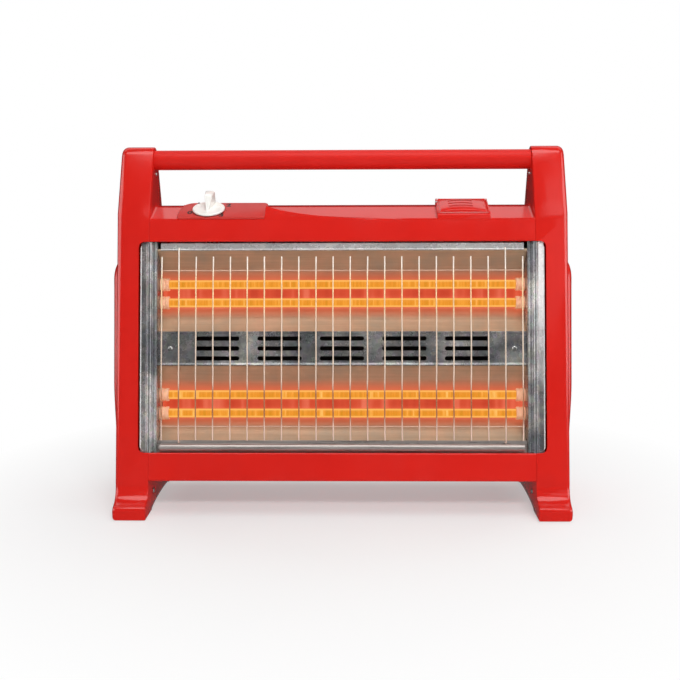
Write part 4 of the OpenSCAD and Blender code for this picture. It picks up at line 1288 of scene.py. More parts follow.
def reflector(name, low, high, low_d, high_d):
    """A trough between two heights; low_d and high_d are the depths of its two edges."""
    middle, half = (low + high) / 2, (high - low) / 2
    path = [(low_d + 0.4, low - 3.6)]
    for k in range(41):
        s = low + 2 * half * k / 40
        edge = high_d if s > middle else low_d
        path.append((TROUGH_D - (TROUGH_D - edge) * ((s - middle) / half) ** 2 + 0.4, s))
    path.append((high_d + 0.4, high + 2.2))
    return across(walled(path, 0.8), -CHEEK_X, CHEEK_X, name)


upper_reflector = reflector("upper_reflector_trough", MID_S + PANEL_HALF, STRIP_LOW, PANEL_D + 1, 5.2)
lower_reflector = reflector("lower_reflector_trough", RAIL_S + 1.3, MID_S - PANEL_HALF, 10.4, PANEL_D + 1)
finish_piece(upper_reflector, "reflector", stands_for=["upper_reflector"])
finish_piece(lower_reflector, "reflector", stands_for=["lower_reflector"])

# %% [markdown]
# ## Control bezel and its marks
# The bezel is a satin plate lying on the slope, chamfered round at its left end. Round the knob are
# four printed ticks, one at each of its places, and four numbers. Text is made a mesh first and is
# then laid on the slope, so that its place is in its mesh like every other piece's.

# %% Bezel
BEZEL_T = 3.0
BEZEL_U = 44.0
KNOB_TURN = radians(184)


def slope_plate(outline, low, high, edge, name):
    """A plate on the slope with a rounded upper edge."""
    rings = [[on_slope(x, u, low) for x, u in outline]]
    for k in range(5):
        a = pi / 2 * k / 4
        drawn_in = beside(outline, edge * (1 - cos(a)), closed=True)
        rings.append([on_slope(x, u, high - edge + edge * sin(a)) for x, u in drawn_in])
    return object_from(name, mesh_from(name, shell(rings)))


bezel_outline = rounded([(BEZEL[0], 0.8), (BEZEL[1], 0.8), (BEZEL[1], BEZEL_U), (BEZEL[0] + 13, BEZEL_U),
                         (BEZEL[0] + 4, BEZEL_U - 7), (BEZEL[0] + 1, BEZEL_U - 22)], 6, 6, closed=True)
bezel = slope_plate(bezel_outline, 0.05, BEZEL_T, 1.1, "control_bezel_plate")
cut(bezel, rod_tool(on_slope(KNOB_X, KNOB_U, BEZEL_T - 1.8), on_slope(KNOB_X, KNOB_U, BEZEL_T + 3), 20.3, 96))
finish_piece(bezel, "bezel_red", stands_for=["control_bezel"])


# each number's degrees round the knob and its distance from the knob's middle
MARKS = ((252, 23.4), (320, 23.5), (57, 26.8), (132, 22.5))


def bezel_marks():
    """A tick at each of the knob's four places, and the numbers 0 to 3 where the photo has marks."""
    build = bmesh.new()
    for quarter in range(4):
        a = KNOB_TURN + quarter * pi / 2
        center = Vector((KNOB_X, KNOB_U)) + Vector((sin(a), cos(a))) * 21.8
        tick = bmesh.ops.create_grid(build, x_segments=1, y_segments=1, size=0.5)["verts"]
        turned = Matrix.Rotation(-a, 4, "Z") @ Matrix.Diagonal((0.6, 1.4, 1, 1))
        bmesh.ops.transform(build, matrix=Matrix.Translation((*center, 0)) @ turned, verts=tick)
    for number, (angle, away) in enumerate(MARKS):
        curve = bpy.data.curves.new("number", "FONT")
        curve.body = str(number)
        curve.size = 12
        curve.offset = 0.55
        curve.align_x = "CENTER"
        curve.align_y = "CENTER"
        curve.resolution_u = 3
        letter = object_from("tool", curve)
        mesh = worked_out(letter)
        bpy.data.objects.remove(letter)
        at = Vector((KNOB_X, KNOB_U)) + Vector((sin(radians(angle)), cos(radians(angle)))) * away
        mesh.transform(Matrix.Translation((*at, 0)))
        build.from_mesh(mesh)
        bpy.data.meshes.remove(mesh)
    solid = bmesh.ops.extrude_face_region(build, geom=build.faces[:])
    raised = [v for v in solid["geom"] if isinstance(v, bmesh.types.BMVert)]
    bmesh.ops.translate(build, verts=raised, vec=(0, 0, 0.08))
    for vert in build.verts:
        vert.co = on_slope(vert.co.x, vert.co.y, vert.co.z + BEZEL_T - 0.02)
    return object_from("printed_marks", mesh_from("marks", build))


finish_piece(bezel_marks(), "black_plastic", finish="mark")

# %% [markdown]
# ## Rotary knob
# A cream disc carries a tall grip that falls towards its pointer. The disc is turned, so it is
# lathed. The grip is lofted from rounded wedges, each shorter than the one below, because its ridge
# falls towards the pointer and its top edge is soft, which a plain extrusion can't give.

# %% Knob
def knob_at(x, y, v):
    """The knob's own frame, y towards its pointer, to metres."""
    turned_x = KNOB_X + x * cos(KNOB_TURN) + y * sin(KNOB_TURN)
    turned_u = KNOB_U - x * sin(KNOB_TURN) + y * cos(KNOB_TURN)
    return on_slope(turned_x, turned_u, v)


def knob_turned(build):
    for vert in build.verts:
        vert.co = knob_at(vert.co.x / MM, vert.co.y / MM, vert.co.z / MM)
    return build


disc_profile = [(0, BEZEL_T + 0.5), (19.0, BEZEL_T + 0.5), (19.5, BEZEL_T + 0.9), (19.6, BEZEL_T + 1.6)]
disc_profile += arc((18.6, BEZEL_T + 2.2), 1.0, 0, 90, 5) + [(15.5, BEZEL_T + 3.1), (14.8, BEZEL_T + 2.8),
                                                           (9, BEZEL_T + 2.9), (0, BEZEL_T + 2.9)]
knob = object_from("rotary_knob", mesh_from("knob", knob_turned(lathe(disc_profile, 72))))


def grip_ring(level):
    """One outline of the grip; level runs from 0 at the disc to 1 at the top."""
    soft = 1 - sqrt(max(1 - max(level - 0.88, 0) ** 2 / 0.12 ** 2, 0))
    tip_y = 10.8 - 14.5 * level - 1.2 * soft
    back_y = -16.8 + 0.8 * level + 1.2 * soft
    tip_half = 1.1 + 3.7 * level - 1.0 * soft
    back_half = 5.9 - 0.3 * level - 1.0 * soft
    height = BEZEL_T + 2.2 + 16.6 * level
    corners = rounded([(-back_half, back_y), (back_half, back_y), (tip_half, tip_y), (-tip_half, tip_y)],
                      1.0, 4, closed=True)
    return [Vector((x, y, height)) * MM for x, y in corners]


levels = [0, 0.1, 0.25, 0.45, 0.65, 0.8, 0.88] + [0.88 + 0.12 * sin(pi / 2 * k / 5) for k in range(1, 6)]
grip = object_from("tool", mesh_from("grip", knob_turned(shell([grip_ring(level) for level in levels]))))
cut(knob, grip, how="UNION")
beveled(knob, 0.5, 2, 50)
finish_piece(knob, "cream_plastic", body="knob", stands_for=["knob"], corner=50)

# %% [markdown]
# ## Humidifier lid
# The lid is a crowned moulding over the water well, flush with the front of the heater, with three
# curved steam slots. A crown and rounded edges together are easiest as a grid of heights, so the
# lid is lofted in slices like the cover, and the slots are bent punches.

# %% Humidifier lid
LID_X = (POD[0] + 1.6, POD[1] - 0.8)
LID_LOW = RIM_V + 0.35
LID_V = RIM_V + 4.6
HINGE_U = WELL_U[1] + 3.6
HINGE_V = RIM_V + 2.2
LID_BACK = WELL_U[1] + 1.4
LID_END = 5.5


def lid_height(x):
    """Top of the lid: a shallow crown whose ends are rounded down."""
    crown = LID_V - (x - POD_X) ** 2 / 380
    edge = min(x - LID_X[0], LID_X[1] - x)
    drop = LID_END - sqrt(max(LID_END ** 2 - max(LID_END - edge, 0) ** 2, 0))
    return max(crown - drop * 0.45, LID_LOW + 0.9)


def front_u(v):
    """Where the lid's front lies at height v over the slope: parallel to the heater's front."""
    return v * sin(SLOPE + LEAN) / cos(SLOPE + LEAN) + 2.2


def lid_slice(x):
    """Outline (u, v) of the lid at x, from its front foot over the top to its rear foot."""
    top = lid_height(x)
    nose = min(2.2, (top - LID_LOW) * 0.6)
    center = (front_u(top - nose) + nose, top - nose)
    over = [(front_u(LID_LOW), LID_LOW)] + arc(center, nose, 180, 90, 7)
    over += [(center[0] + (LID_BACK - 1.8 - center[0]) * k / 6, top) for k in range(1, 7)]
    over += [(LID_BACK - 0.6, top - 0.25), (LID_BACK, top - 0.8), (LID_BACK, LID_LOW)]
    return [on_slope(x, u, v) for u, v in over]


def curved_punch(center_x, center_u, width, height, bow, low, high):
    """A slot bent in an arc, as a punch through the lid."""
    middle = [(center_x + (width / 2 - height / 2) * (2 * k / 14 - 1), 0) for k in range(15)]
    middle = [(x, center_u + bow * (1 - ((x - center_x) * 2 / width) ** 2)) for x, _ in middle]
    outline = walled(middle, height)
    outline = rounded(outline, height * 0.45, 4, closed=True)
    rings = [[on_slope(x, u, v) for x, u in outline] for v in (low, high)]
    return object_from("tool", mesh_from("punch", shell(rings)))


def lid_mesh():
    ends = [LID_X[0] + LID_END * (1 - cos(pi / 2 * k / 6)) for k in range(7)]
    middle = [ends[-1] + (LID_X[1] - LID_END - ends[-1]) * k / 24 for k in range(1, 24)]
    stations = ends + middle + [LID_X[0] + LID_X[1] - x for x in ends[::-1]]
    return mesh_from("lid", shell([lid_slice(x) for x in stations]))


lid = object_from("humidifier_lid_moulding", lid_mesh())
hollow = box_tool((WELL_X[0] + 0.9, WELL_U[0] + 0.9, 0),
                  (WELL_X[1] - 0.9, LID_BACK - 1.0, LID_LOW + 1.6), on_slope)
leaf = box_tool((WELL_X[0] + 0.3, LID_BACK - 1, HINGE_V - 1.1),
                (WELL_X[1] - 0.3, HINGE_U, HINGE_V + 0.3), on_slope)
knuckle = rod_tool(*[on_slope(x, HINGE_U, HINGE_V) for x in (WELL_X[0] + 0.3, WELL_X[1] - 0.3)], 1.15, 24)
pin_hole = rod_tool(*[on_slope(x, HINGE_U, HINGE_V) for x in (WELL_X[0] - 3, WELL_X[1] + 3)], 0.85, 20)
cut(lid, hollow)
cut(lid, leaf, knuckle, how="UNION")
cut(lid, pin_hole)
for k in range(3):
    cut(lid, curved_punch(POD_X - 3, WELL_U[0] + 10.7 + 7.5 * k, width=32, height=2.3, bow=1.5,
                          low=2, high=12))
for u in (WELL_U[0] + 14.5, WELL_U[0] + 26):
    cut(lid, rod_tool(on_slope(LID_X[1] - 6, u, LID_V - 1.9), on_slope(LID_X[1] - 6, u, LID_V + 2), 1.5, 20))
notch = box_tool((LID_X[0] + 3.5, -6, LID_LOW + 1),
                 (LID_X[0] + 9, front_u(LID_LOW) + 1.6, LID_LOW + 2.6), on_slope)
cut(lid, notch)
finish_piece(lid, "red_plastic", body="lid", stands_for=["humidifier_lid"], corner=40)
tank = softened("water_tank", 0.4)
cut(tank, box_tool((WELL_X[0] - 4, WELL_U[1] + 1.5, 7.8), (WELL_X[1] + 4, HINGE_U + 4, 12), on_slope))
finish_piece(tank, "tank_plastic", body="tank", stands_for=["water_tank"])


def behind_the_well(face):
    """True for the faces of the tank's two hinge lugs."""
    out = face.center / MM - SLOPE_FOOT
    return out.y * cos(SLOPE) + out.z * sin(SLOPE) > WELL_U[1] + 1.5


refinish(tank, "red_plastic", behind_the_well)

# %% [markdown]
# ## Wire guard
# Twenty-two upright wires stand on two cross wires. Real guard wires bow a little towards the hand
# and are never quite straight, and this one's are spot welded, with a small nugget at each crossing.
# That is repetition along a rule, so trees grow the wires and the nuggets from a few sizes.

# %% A tree for bowed wires
WIRES = 22
WIRE_PITCH = 20.6
WIRE_R = 0.8
WIRE_D = 2.6
WIRE_HALF = (WINDOW_S[1] - WINDOW_S[0]) / 2 - 16.3
CROSS_RISE = WIRE_HALF - 16.7
GUARD_SEED = 7
OUTER_SEED = 3
CROSS_SEED = 11


def round_bar(tree, curve, radius, sides):
    """A curve given a round section and closed ends."""
    circle = add(tree, "GeometryNodeCurvePrimitiveCircle", {"Resolution": sides, "Radius": radius})
    return add(tree, "GeometryNodeCurveToMesh", {"Curve": curve, "Profile Curve": circle.outputs[0],
                                                 "Fill Caps": True})


def wires_tree():
    """Upright wires in a row along x, standing along z, bowed along -y."""
    tree, given, result = new_tree("guard_wires", Count=22, Pitch=0.0206, Half=0.11, Bow=0.002, Wobble=0.0005,
                                   Radius=0.0008, Seed=7, Finish=FINISH["guard_wire"])
    last = math(tree, "ADD", given["Count"], -1.0)
    reach = math(tree, "MULTIPLY", last, given["Pitch"])
    start = math(tree, "MULTIPLY", reach, -0.5)
    left = add(tree, "ShaderNodeCombineXYZ", {"X": start}).outputs[0]
    step = add(tree, "ShaderNodeCombineXYZ", {"X": given["Pitch"]}).outputs[0]
    row = add(tree, "GeometryNodeMeshLine", {"Count": given["Count"], "Start Location": left, "Offset": step},
              mode="OFFSET").outputs[0]
    down = math(tree, "MULTIPLY", given["Half"], -1.0)
    foot = add(tree, "ShaderNodeCombineXYZ", {"Z": down}).outputs[0]
    head = add(tree, "ShaderNodeCombineXYZ", {"Z": given["Half"]}).outputs[0]
    line = add(tree, "GeometryNodeCurvePrimitiveLine", {"Start": foot, "End": head}).outputs[0]
    fine = add(tree, "GeometryNodeResampleCurve", {"Curve": line, "Count": 26}).outputs[0]
    placed = add(tree, "GeometryNodeInstanceOnPoints", {"Points": row, "Instance": fine}).outputs[0]
    real = add(tree, "GeometryNodeRealizeInstances", {"Geometry": placed}).outputs[0]
    where = add(tree, "GeometryNodeInputPosition").outputs[0]
    height = add(tree, "ShaderNodeSeparateXYZ", {"Vector": where}).outputs["Z"]
    share = math(tree, "DIVIDE", height, given["Half"])
    square = math(tree, "MULTIPLY", share, share)
    fall = math(tree, "SUBTRACT", 1.0, square)
    bowed = math(tree, "MULTIPLY", fall, given["Bow"])
    forward = math(tree, "MULTIPLY", bowed, -1.0)
    seed = math(tree, "MULTIPLY", given["Seed"], 0.37)
    turns = add(tree, "ShaderNodeTexNoise", {"Vector": where, "W": seed, "Scale": 16.0, "Detail": 1.0},
                noise_dimensions="4D").outputs["Color"]
    centred = add(tree, "ShaderNodeVectorMath", {0: turns, 1: (-0.5, -0.5, -0.5)}, operation="ADD").outputs[0]
    wobble = add(tree, "ShaderNodeVectorMath", {0: centred}, operation="SCALE")
    tree.links.new(given["Wobble"], wobble.inputs["Scale"])
    level = {0: wobble.outputs[0], 1: (1, 1, 0)}
    flat = add(tree, "ShaderNodeVectorMath", level, operation="MULTIPLY").outputs[0]
    bow = add(tree, "ShaderNodeCombineXYZ", {"Y": forward}).outputs[0]
    shift = add(tree, "ShaderNodeVectorMath", {0: flat, 1: bow}, operation="ADD").outputs[0]
    bent = add(tree, "GeometryNodeSetPosition", {"Geometry": real, "Offset": shift}).outputs[0]
    solid = round_bar(tree, bent, given["Radius"], 10)
    return hand_over(tree, solid.outputs[0], given["Finish"], result)


LEANED_MATRIX = Matrix.Translation(upright(0, BODY_Y, BODY_Z)) @ Matrix.Rotation(-LEAN, 4, "X")


def leaned_at(x, d, s):
    """A matrix that takes a shape about the origin to a place in the leaned frame."""
    return LEANED_MATRIX @ Matrix.Translation(upright(x, d, s))


def joined(name, *parts):
    """Some objects made one, each with its own mesh joined in; the parts are thrown away."""
    build = bmesh.new()
    for part in parts:
        build.from_mesh(part.data)
        bpy.data.objects.remove(part)
    return object_from(name, mesh_as_it_is(name, build))


WIRES_TREE = wires_tree()
HOOKED_X = (WIRES / 2 - 1.5) * WIRE_PITCH
HOOK_TOP = WINDOW_S[1] - 7.6
HOOK_LOW = WINDOW_S[0] + 11.9


def wire_row(count, pitch, half, bow, wobble, center, seed, radius=WIRE_R, turn=Matrix.Identity(4)):
    """A row of bowed wires about center, in millimetres, as a part for joined."""
    made = grown("tool", WIRES_TREE, Count=count, Pitch=pitch * MM, Half=half * MM, Bow=bow * MM,
                 Wobble=wobble * MM, Radius=radius * MM, Seed=seed)
    made.data.transform(leaned_at(*center) @ turn)
    return made


def hooked_wire(x):
    """A longer wire whose ends turn in through the strip and the rail."""
    path = [(10.2, HOOK_LOW), (WIRE_D - 0.2, HOOK_LOW), (WIRE_D - 0.2, HOOK_TOP), (5.2, HOOK_TOP)]
    return bar_along("hook", rounded(path, 2.2, 6), WIRE_R, 12, lambda d, s, off: leaned(x + off, d, s))


guard_middle = (0, WIRE_D, MID_S)
inner_wires = wire_row(WIRES - 4, WIRE_PITCH, WIRE_HALF, bow=1.6, wobble=1.5,
                       center=guard_middle, seed=GUARD_SEED)
outer_wires = wire_row(2, (WIRES - 1) * WIRE_PITCH, WIRE_HALF, bow=0.6, wobble=1.0,
                       center=guard_middle, seed=OUTER_SEED)
uprights = joined("guard_upright_wires", inner_wires, outer_wires,
                  hooked_wire(-HOOKED_X), hooked_wire(HOOKED_X))
finish_piece(uprights, "bright_steel", stands_for=["guard_uprights"], finish="guard_wire", corner=60)

cross_half = (WIRES - 1) / 2 * WIRE_PITCH + 1
sideways = Matrix.Rotation(pi / 2, 4, "Y")
crosses = [wire_row(1, 0, cross_half, bow=0.0, wobble=0.8, seed=CROSS_SEED, radius=0.6, turn=sideways,
                    center=(0, WIRE_D + 1.35, MID_S + side * CROSS_RISE)) for side in (-1, 1)]
cross_wires = joined("guard_cross_wires_bent", *crosses)
finish_piece(cross_wires, "bright_steel", stands_for=["guard_cross_wires"], finish="cross_wire", corner=60)


# %% A tree that sets one shape at many points
def scatter_tree():
    """Instances of one object at the points of a mesh, turned to the point's aim."""
    tree, given, result = new_tree("set_at_points", Shape=uprights, Finish=FINISH["zinc_steel"])
    aim = add(tree, "GeometryNodeInputNamedAttribute", {"Name": "aim"}, data_type="FLOAT_VECTOR").outputs[0]
    turn = add(tree, "FunctionNodeAlignRotationToVector", {"Vector": aim}, axis="Z").outputs[0]
    shape = add(tree, "GeometryNodeObjectInfo", {"Object": given["Shape"]}).outputs["Geometry"]
    placed = add(tree, "GeometryNodeInstanceOnPoints", {"Points": given["Geometry"], "Instance": shape,
                                                        "Rotation": turn}).outputs[0]
    real = add(tree, "GeometryNodeRealizeInstances", {"Geometry": placed}).outputs[0]
    return hand_over(tree, real, given["Finish"], result)


SCATTER = scatter_tree()


def scattered(name, shape_mesh, points, finish="zinc_steel"):
    """One shape set at each (place, aim), as a plain mesh; places in metres."""
    shape = object_from("tool_shape", shape_mesh)
    mesh = bpy.data.meshes.new(name)
    mesh.from_pydata([tuple(p) for p, _ in points], [], [])
    aim = mesh.attributes.new("aim", "FLOAT_VECTOR", "POINT")
    for k, (_, way) in enumerate(points):
        aim.data[k].vector = way
    made = grown(name, SCATTER, base=object_from(name, mesh), Shape=shape, Finish=FINISH[finish])
    bpy.data.objects.remove(shape)
    return made


LEANED_IN = Vector((0, cos(LEAN), -sin(LEAN)))
SIDE = Vector((1, 0, 0))

nugget = lathe([(0, 0.6), (0.4, 0.5), (0.7, 0.25), (0.8, 0), (0.7, -0.25), (0, -0.6)], 10)
crossings = []
for k in range(WIRES):
    for side in (-1, 1):
        x = (k - (WIRES - 1) / 2) * WIRE_PITCH
        crossings.append((leaned(x, WIRE_D + 0.9, MID_S + side * CROSS_RISE), LEANED_IN))
nuggets = scattered("guard_weld_nuggets", mesh_from("nugget", nugget), crossings, "guard_wire")
finish_piece(nuggets, "bright_steel", finish="guard_wire", corner=60)

# %% [markdown]
# ## Quartz tubes, coils and ceramic caps
# A lit tube shows three things: the frosted pipe, the coil inside it and a ceramic cap at each end.
# The coil is a helix, so Blender's spiral does it in one tree. Pipe and cap are turned shapes, and
# the caps are set eight times by the tree above, four facing each way.

# %% Tubes
TUBE_R = 6.0
TUBE_HALF = CHEEK_X - 1
TUBE_BORE = TUBE_R - 1.3
tube_section = [(TUBE_BORE, -TUBE_HALF), (TUBE_R - 0.3, -TUBE_HALF), (TUBE_R, -TUBE_HALF + 0.4)]
tube_section += [(TUBE_R, -TUBE_HALF + 0.4 + (2 * TUBE_HALF - 0.8) * k / 40) for k in range(1, 41)]
tube_section += [(TUBE_R - 0.3, TUBE_HALF), (TUBE_BORE, TUBE_HALF), (TUBE_BORE, -TUBE_HALF)]
for number, s in enumerate(TUBES, 1):
    build = lathe(tube_section, 40)
    build.transform(leaned_at(0, TUBE_D, s) @ Matrix.Rotation(pi / 2, 4, "Y"))
    tube = object_from("quartz_tube_%d_frosted" % number, mesh_from("tube", build))
    finish_piece(tube, "glowing_quartz", stands_for=["quartz_tube_%d" % number])


# %% Heating coils
def coil_tree():
    tree, given, result = new_tree("heating_coil", Turns=100.0, Radius=0.0032, Length=0.4, Wire=0.0004,
                                   Finish=FINISH["glowing_coil"])
    spiral = add(tree, "GeometryNodeCurveSpiral", {"Resolution": 12, "Rotations": given["Turns"],
                                                   "Start Radius": given["Radius"],
                                                   "End Radius": given["Radius"],
                                                   "Height": given["Length"]}).outputs[0]
    solid = round_bar(tree, spiral, given["Wire"], 5)
    return hand_over(tree, solid.outputs[0], given["Finish"], result)


COIL = coil_tree()
COIL_HALF = CHEEK_X - 8
for number, s in enumerate(TUBES, 1):
    coil = grown("heating_coil_%d_wound" % number, COIL, Turns=2 * COIL_HALF / 3.2, Radius=2.9 * MM,
                 Length=2 * COIL_HALF * MM, Wire=0.5 * MM)
    coil.data.transform(leaned_at(0, TUBE_D, s) @ Matrix.Rotation(pi / 2, 4, "Y")
                        @ Matrix.Translation(upright(0, 0, -COIL_HALF)))
    finish_piece(coil, "glowing_coil", stands_for=["heating_coil_%d" % number], corner=60)

# %% Ceramic caps and terminals
cap_profile = [(6.05, -11), (7.4, -11), (8, -10.4), (8, -7.2), (7.5, -6.6), (7.5, -5.6), (8, -5), (8, -0.5),
               (7.4, 0), (7.4, 2.2), (8, 2.6), (8, 6.4), (7.4, 7), (1.6, 7), (1.6, 0), (6.05, -1),
               (6.05, -11)]
terminal_profile = [(0, -8), (1.5, -8), (1.5, 7.4), (2.6, 7.6), (2.6, 9.4), (1.5, 9.8), (1.5, 14), (0, 14)]
for word, way in (("left", -1), ("right", 1)):
    places = [(leaned(way * CHEEK_X, TUBE_D, s), SIDE * way) for s in TUBES]
    cap = mesh_from("cap", lathe(cap_profile, 40))
    caps = scattered(word + "_ceramic_caps", cap, places, "white_ceramic")
    finish_piece(caps, "white_ceramic", stands_for=[word + "_end_caps"])
    pins = scattered("tool", mesh_from("pin", lathe(terminal_profile, 16)), places, "zinc_steel")
    tabs = [box_tool((min(a, b), TUBE_D - 3, s - 0.6), (max(a, b), TUBE_D + 3, s + 0.6))
            for s in TUBES for a, b in [(way * (CHEEK_X + 10), way * (CHEEK_X + 17))]]
    pins = joined(word + "_terminal_tabs", pins, *tabs)
    finish_piece(pins, "zinc_steel", stands_for=[word + "_terminals"])

# %% [markdown]
# ## Screws and pads
# Pan-head screws with a cross recess hold the covers, the centre panel and the back. One head is
# turned and its cross is cut once for each size, and the tree sets it wherever a screw goes. The
# rubber pads under the feet are set in the same way.

# %% Screws
def screw_mesh(head_r, head_h, shank_r, length):
    """A pan head above the origin with its shank below, and a cross recess."""
    profile = [(0, head_h), (head_r * 0.45, head_h * 0.97), (head_r * 0.8, head_h * 0.72),
               (head_r, head_h * 0.25), (head_r, 0), (shank_r, 0), (shank_r, -length), (0, -length)]
    made = object_from("tool_screw", mesh_from("screw", lathe(profile, 20)))
    arm = head_r * 0.62
    for a, b in ((arm, 0.35), (0.35, arm)):
        cut(made, box_tool((-a, -b, head_h * 0.35), (a, b, head_h + 1), upright))
    mesh = made.data.copy()
    bpy.data.objects.remove(made)
    return mesh


SCREW_AT = ((TOE_Y + 50, 22), (HANDLE_Y - 0.5, HANDLE_Z - 16.5))
side_places = [(upright(way * (INNER_X - 0.1), y, z), SIDE * -way) for way in (-1, 1) for y, z in SCREW_AT]
side_screw = screw_mesh(head_r=2.9, head_h=1.6, shank_r=1.4, length=14)
side_screws = scattered("column_pan_screws", side_screw, side_places)
finish_piece(side_screws, "zinc_steel", stands_for=["column_screws"])

PANEL_SCREW_X = 208
panel_places = [(leaned(way * PANEL_SCREW_X, PANEL_D + 0.1, MID_S), -LEANED_IN) for way in (-1, 1)]
panel_screw = screw_mesh(head_r=3.1, head_h=1.7, shank_r=1.4, length=6)
panel_screws = scattered("centre_panel_screws", panel_screw, panel_places)
finish_piece(panel_screws, "zinc_steel", stands_for=["panel_screws"])

REAR_SCREW_Z = (BODY_Z + 38, 205, REAR_TOP - 21)
back_places = [(upright(way * (INNER_X - 5), REAR_Y + 1.2, z), Vector((0, 1, 0)))
               for way in (-1, 1) for z in REAR_SCREW_Z]
back_screw = screw_mesh(head_r=3.3, head_h=1.9, shank_r=1.5, length=8)
back_screws = scattered("rear_pan_screws", back_screw, back_places)
finish_piece(back_screws, "zinc_steel", stands_for=["rear_screws"])

pad_profile = [(0, 0), (6.9, 0), (7.8, 0.5), (8, 1.2), (8, 2.9), (0, 2.9)]
pad_places = [(upright(way * (INNER_X + COLUMN_W / 2), y, 0), Vector((0, 0, 1)))
              for way in (-1, 1) for y in (TOE_Y + 15, HEEL_Y - 16)]
pads = scattered("rubber_foot_pads", mesh_from("pad", lathe(pad_profile, 32)), pad_places, "black_rubber")
finish_piece(pads, "black_rubber", stands_for=["foot_pads"])

# %% [markdown]
# ## Back and bottom
# The photograph doesn't show the back, so it is what such a heater has: a flat enamelled sheet with
# softened edges, five rows of vent slots, and a rubber grommet. Its inner face is painted near-black
# as shade for the inside of the housing, seen through the slots. The slots come from the same tree
# as the centre panel's.

# %% Rear panel
rear_half = INNER_X - 0.3
rear_outline = [(-rear_half, BODY_Z + 1.4), (rear_half, BODY_Z + 1.4), (rear_half, REAR_TOP - 0.2),
                (-rear_half, REAR_TOP - 0.2)]
rear_rings = []
for inset, y in ((0, REAR_Y), (0, REAR_Y + 0.8), (0.4, REAR_Y + 1.2)):
    corners = beside(rounded(rear_outline, 2, 3, closed=True), inset, closed=True)
    rear_rings.append([upright(x, y, z) for x, z in corners])
rear_panel = object_from("rear_sheet", mesh_from("rear", shell(rear_rings)))
for middle_z, rows in ((252, 3), (103, 2)):
    cut(rear_panel, punches(upright(0, REAR_Y, middle_z), columns=7, rows=rows, pitch_x=56, pitch_z=14,
                            width=40, height=5, depth=8, matrix=FACING))
INLET_X, INLET_Z = 185.0, 76.0
cut(rear_panel, rod_tool(upright(INLET_X, REAR_Y - 3, INLET_Z), upright(INLET_X, REAR_Y + 4, INLET_Z), 6.5))
beveled(rear_panel, 0.3, 2, 60)
finish_piece(rear_panel, "red_paint", stands_for=["rear_panel"])
# Painted shade: the inner face is near-black so that the housing's inside shows dark through the slots.
refinish(rear_panel, "inner_face_painted_shade", lambda face: face.normal.y < -0.9)
bottom = softened("bottom_panel", 0.3)
finish_piece(bottom, "red_paint", stands_for=["bottom_panel"])
grommet_profile = [(4, -2.5), (8.2, -2.5), (8.5, -2), (8.5, 0), (6.5, 0), (6.5, 1.2), (9.2, 1.2), (9.5, 1.6),
                   (9.5, 3.2), (8.9, 3.7), (6.5, 3.9), (6.1, 6.0), (5.7, 6.2), (4, 6.2), (4, -2.5)]
grommet = scattered("cord_inlet_grommet", mesh_from("grommet", lathe(grommet_profile, 36)),
                    [(upright(INLET_X, REAR_Y, INLET_Z), Vector((0, 1, 0)))], "black_rubber")
finish_piece(grommet, "black_rubber", stands_for=["cord_grommet"])

# %% [markdown]
# ## The parts that stay as built
# Inside parts, such as the switch body and the safety switch, already have their real shape in the
# frame. They keep it and get their finish here, each from the material slot listed for it below.

# %% Finishes of the frame's own nodes
INSIDE = {
    "switch_spindle": "zinc_steel", "switch_nut": "zinc_steel", "switch_body": "natural_plastic",
    "lid_hinge_pin": "zinc_steel", "terminal_block": "natural_plastic", "thermal_cutout": "black_plastic",
    "switched_leads": "white_sleeve", "common_lead": "white_sleeve", "supply_leads": "brown_sleeve",
    "tip_frame": "zinc_steel", "tip_pendulum": "brass", "tip_switch": "black_plastic",
}
for node, slot in INSIDE.items():
    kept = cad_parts[node]
    if not kept.material_slots:
        kept.data.materials.append(FINISH[slot])
    for holder in kept.material_slots:
        holder.material = FINISH[slot]

# %% [markdown]
# ## Floor and light
# A pale studio: a floor that fades into white, one broad soft lamp above and a narrow, stronger one
# in front. Whatever shows in the gloss is set apart from that, with cards that only reflections see:
# softboxes above and on the right, a strip at each side, white high behind and dark low behind.

# %% Studio
def studio_floor():
    """Takes shadows near the heater, is plain white further out and dark in reflections."""
    build = bmesh.new()
    bmesh.ops.create_grid(build, x_segments=2, y_segments=2, size=8.0)
    made = object_from("studio_floor", mesh_from("floor", build))
    mat, tree, shader = finish_named("studio_floor_paper", (0.9, 0.9, 0.9), 0.8)
    coat(tree, shader, ramp(tree, noise(tree, 3, 3), (0.3, 0.9), (0.7, 0.92)),
         span(tree, noise(tree, 40, 3), 0.75, 0.9))
    shader.inputs["Specular IOR Level"].default_value = 0.1
    away = add(tree, "ShaderNodeVectorMath", {0: place(tree)}, operation="LENGTH").outputs["Value"]
    fade = span(tree, away, 0.35, 1.0, 0.2, 0.55)
    rays = add(tree, "ShaderNodeLightPath")
    white = add(tree, "ShaderNodeEmission", {"Color": (1, 1, 1, 1), "Strength": 1.0})
    dark = add(tree, "ShaderNodeEmission", {"Color": (1, 1, 1, 1), "Strength": 0.12})
    seen = add(tree, "ShaderNodeMixShader", {0: math(tree, "MULTIPLY", fade, rays.outputs["Is Camera Ray"])})
    tree.links.new(shader.outputs[0], seen.inputs[1])
    tree.links.new(white.outputs[0], seen.inputs[2])
    both = add(tree, "ShaderNodeMixShader", {0: rays.outputs["Is Glossy Ray"]})
    tree.links.new(seen.outputs[0], both.inputs[1])
    tree.links.new(dark.outputs[0], both.inputs[2])
    tree.links.new(both.outputs[0], tree.nodes["Material Output"].inputs["Surface"])
    made.data.materials.append(mat)
    return made


CARDS_AT = Vector((0, 0, 0.25))
CARD_AWAY = 3.2


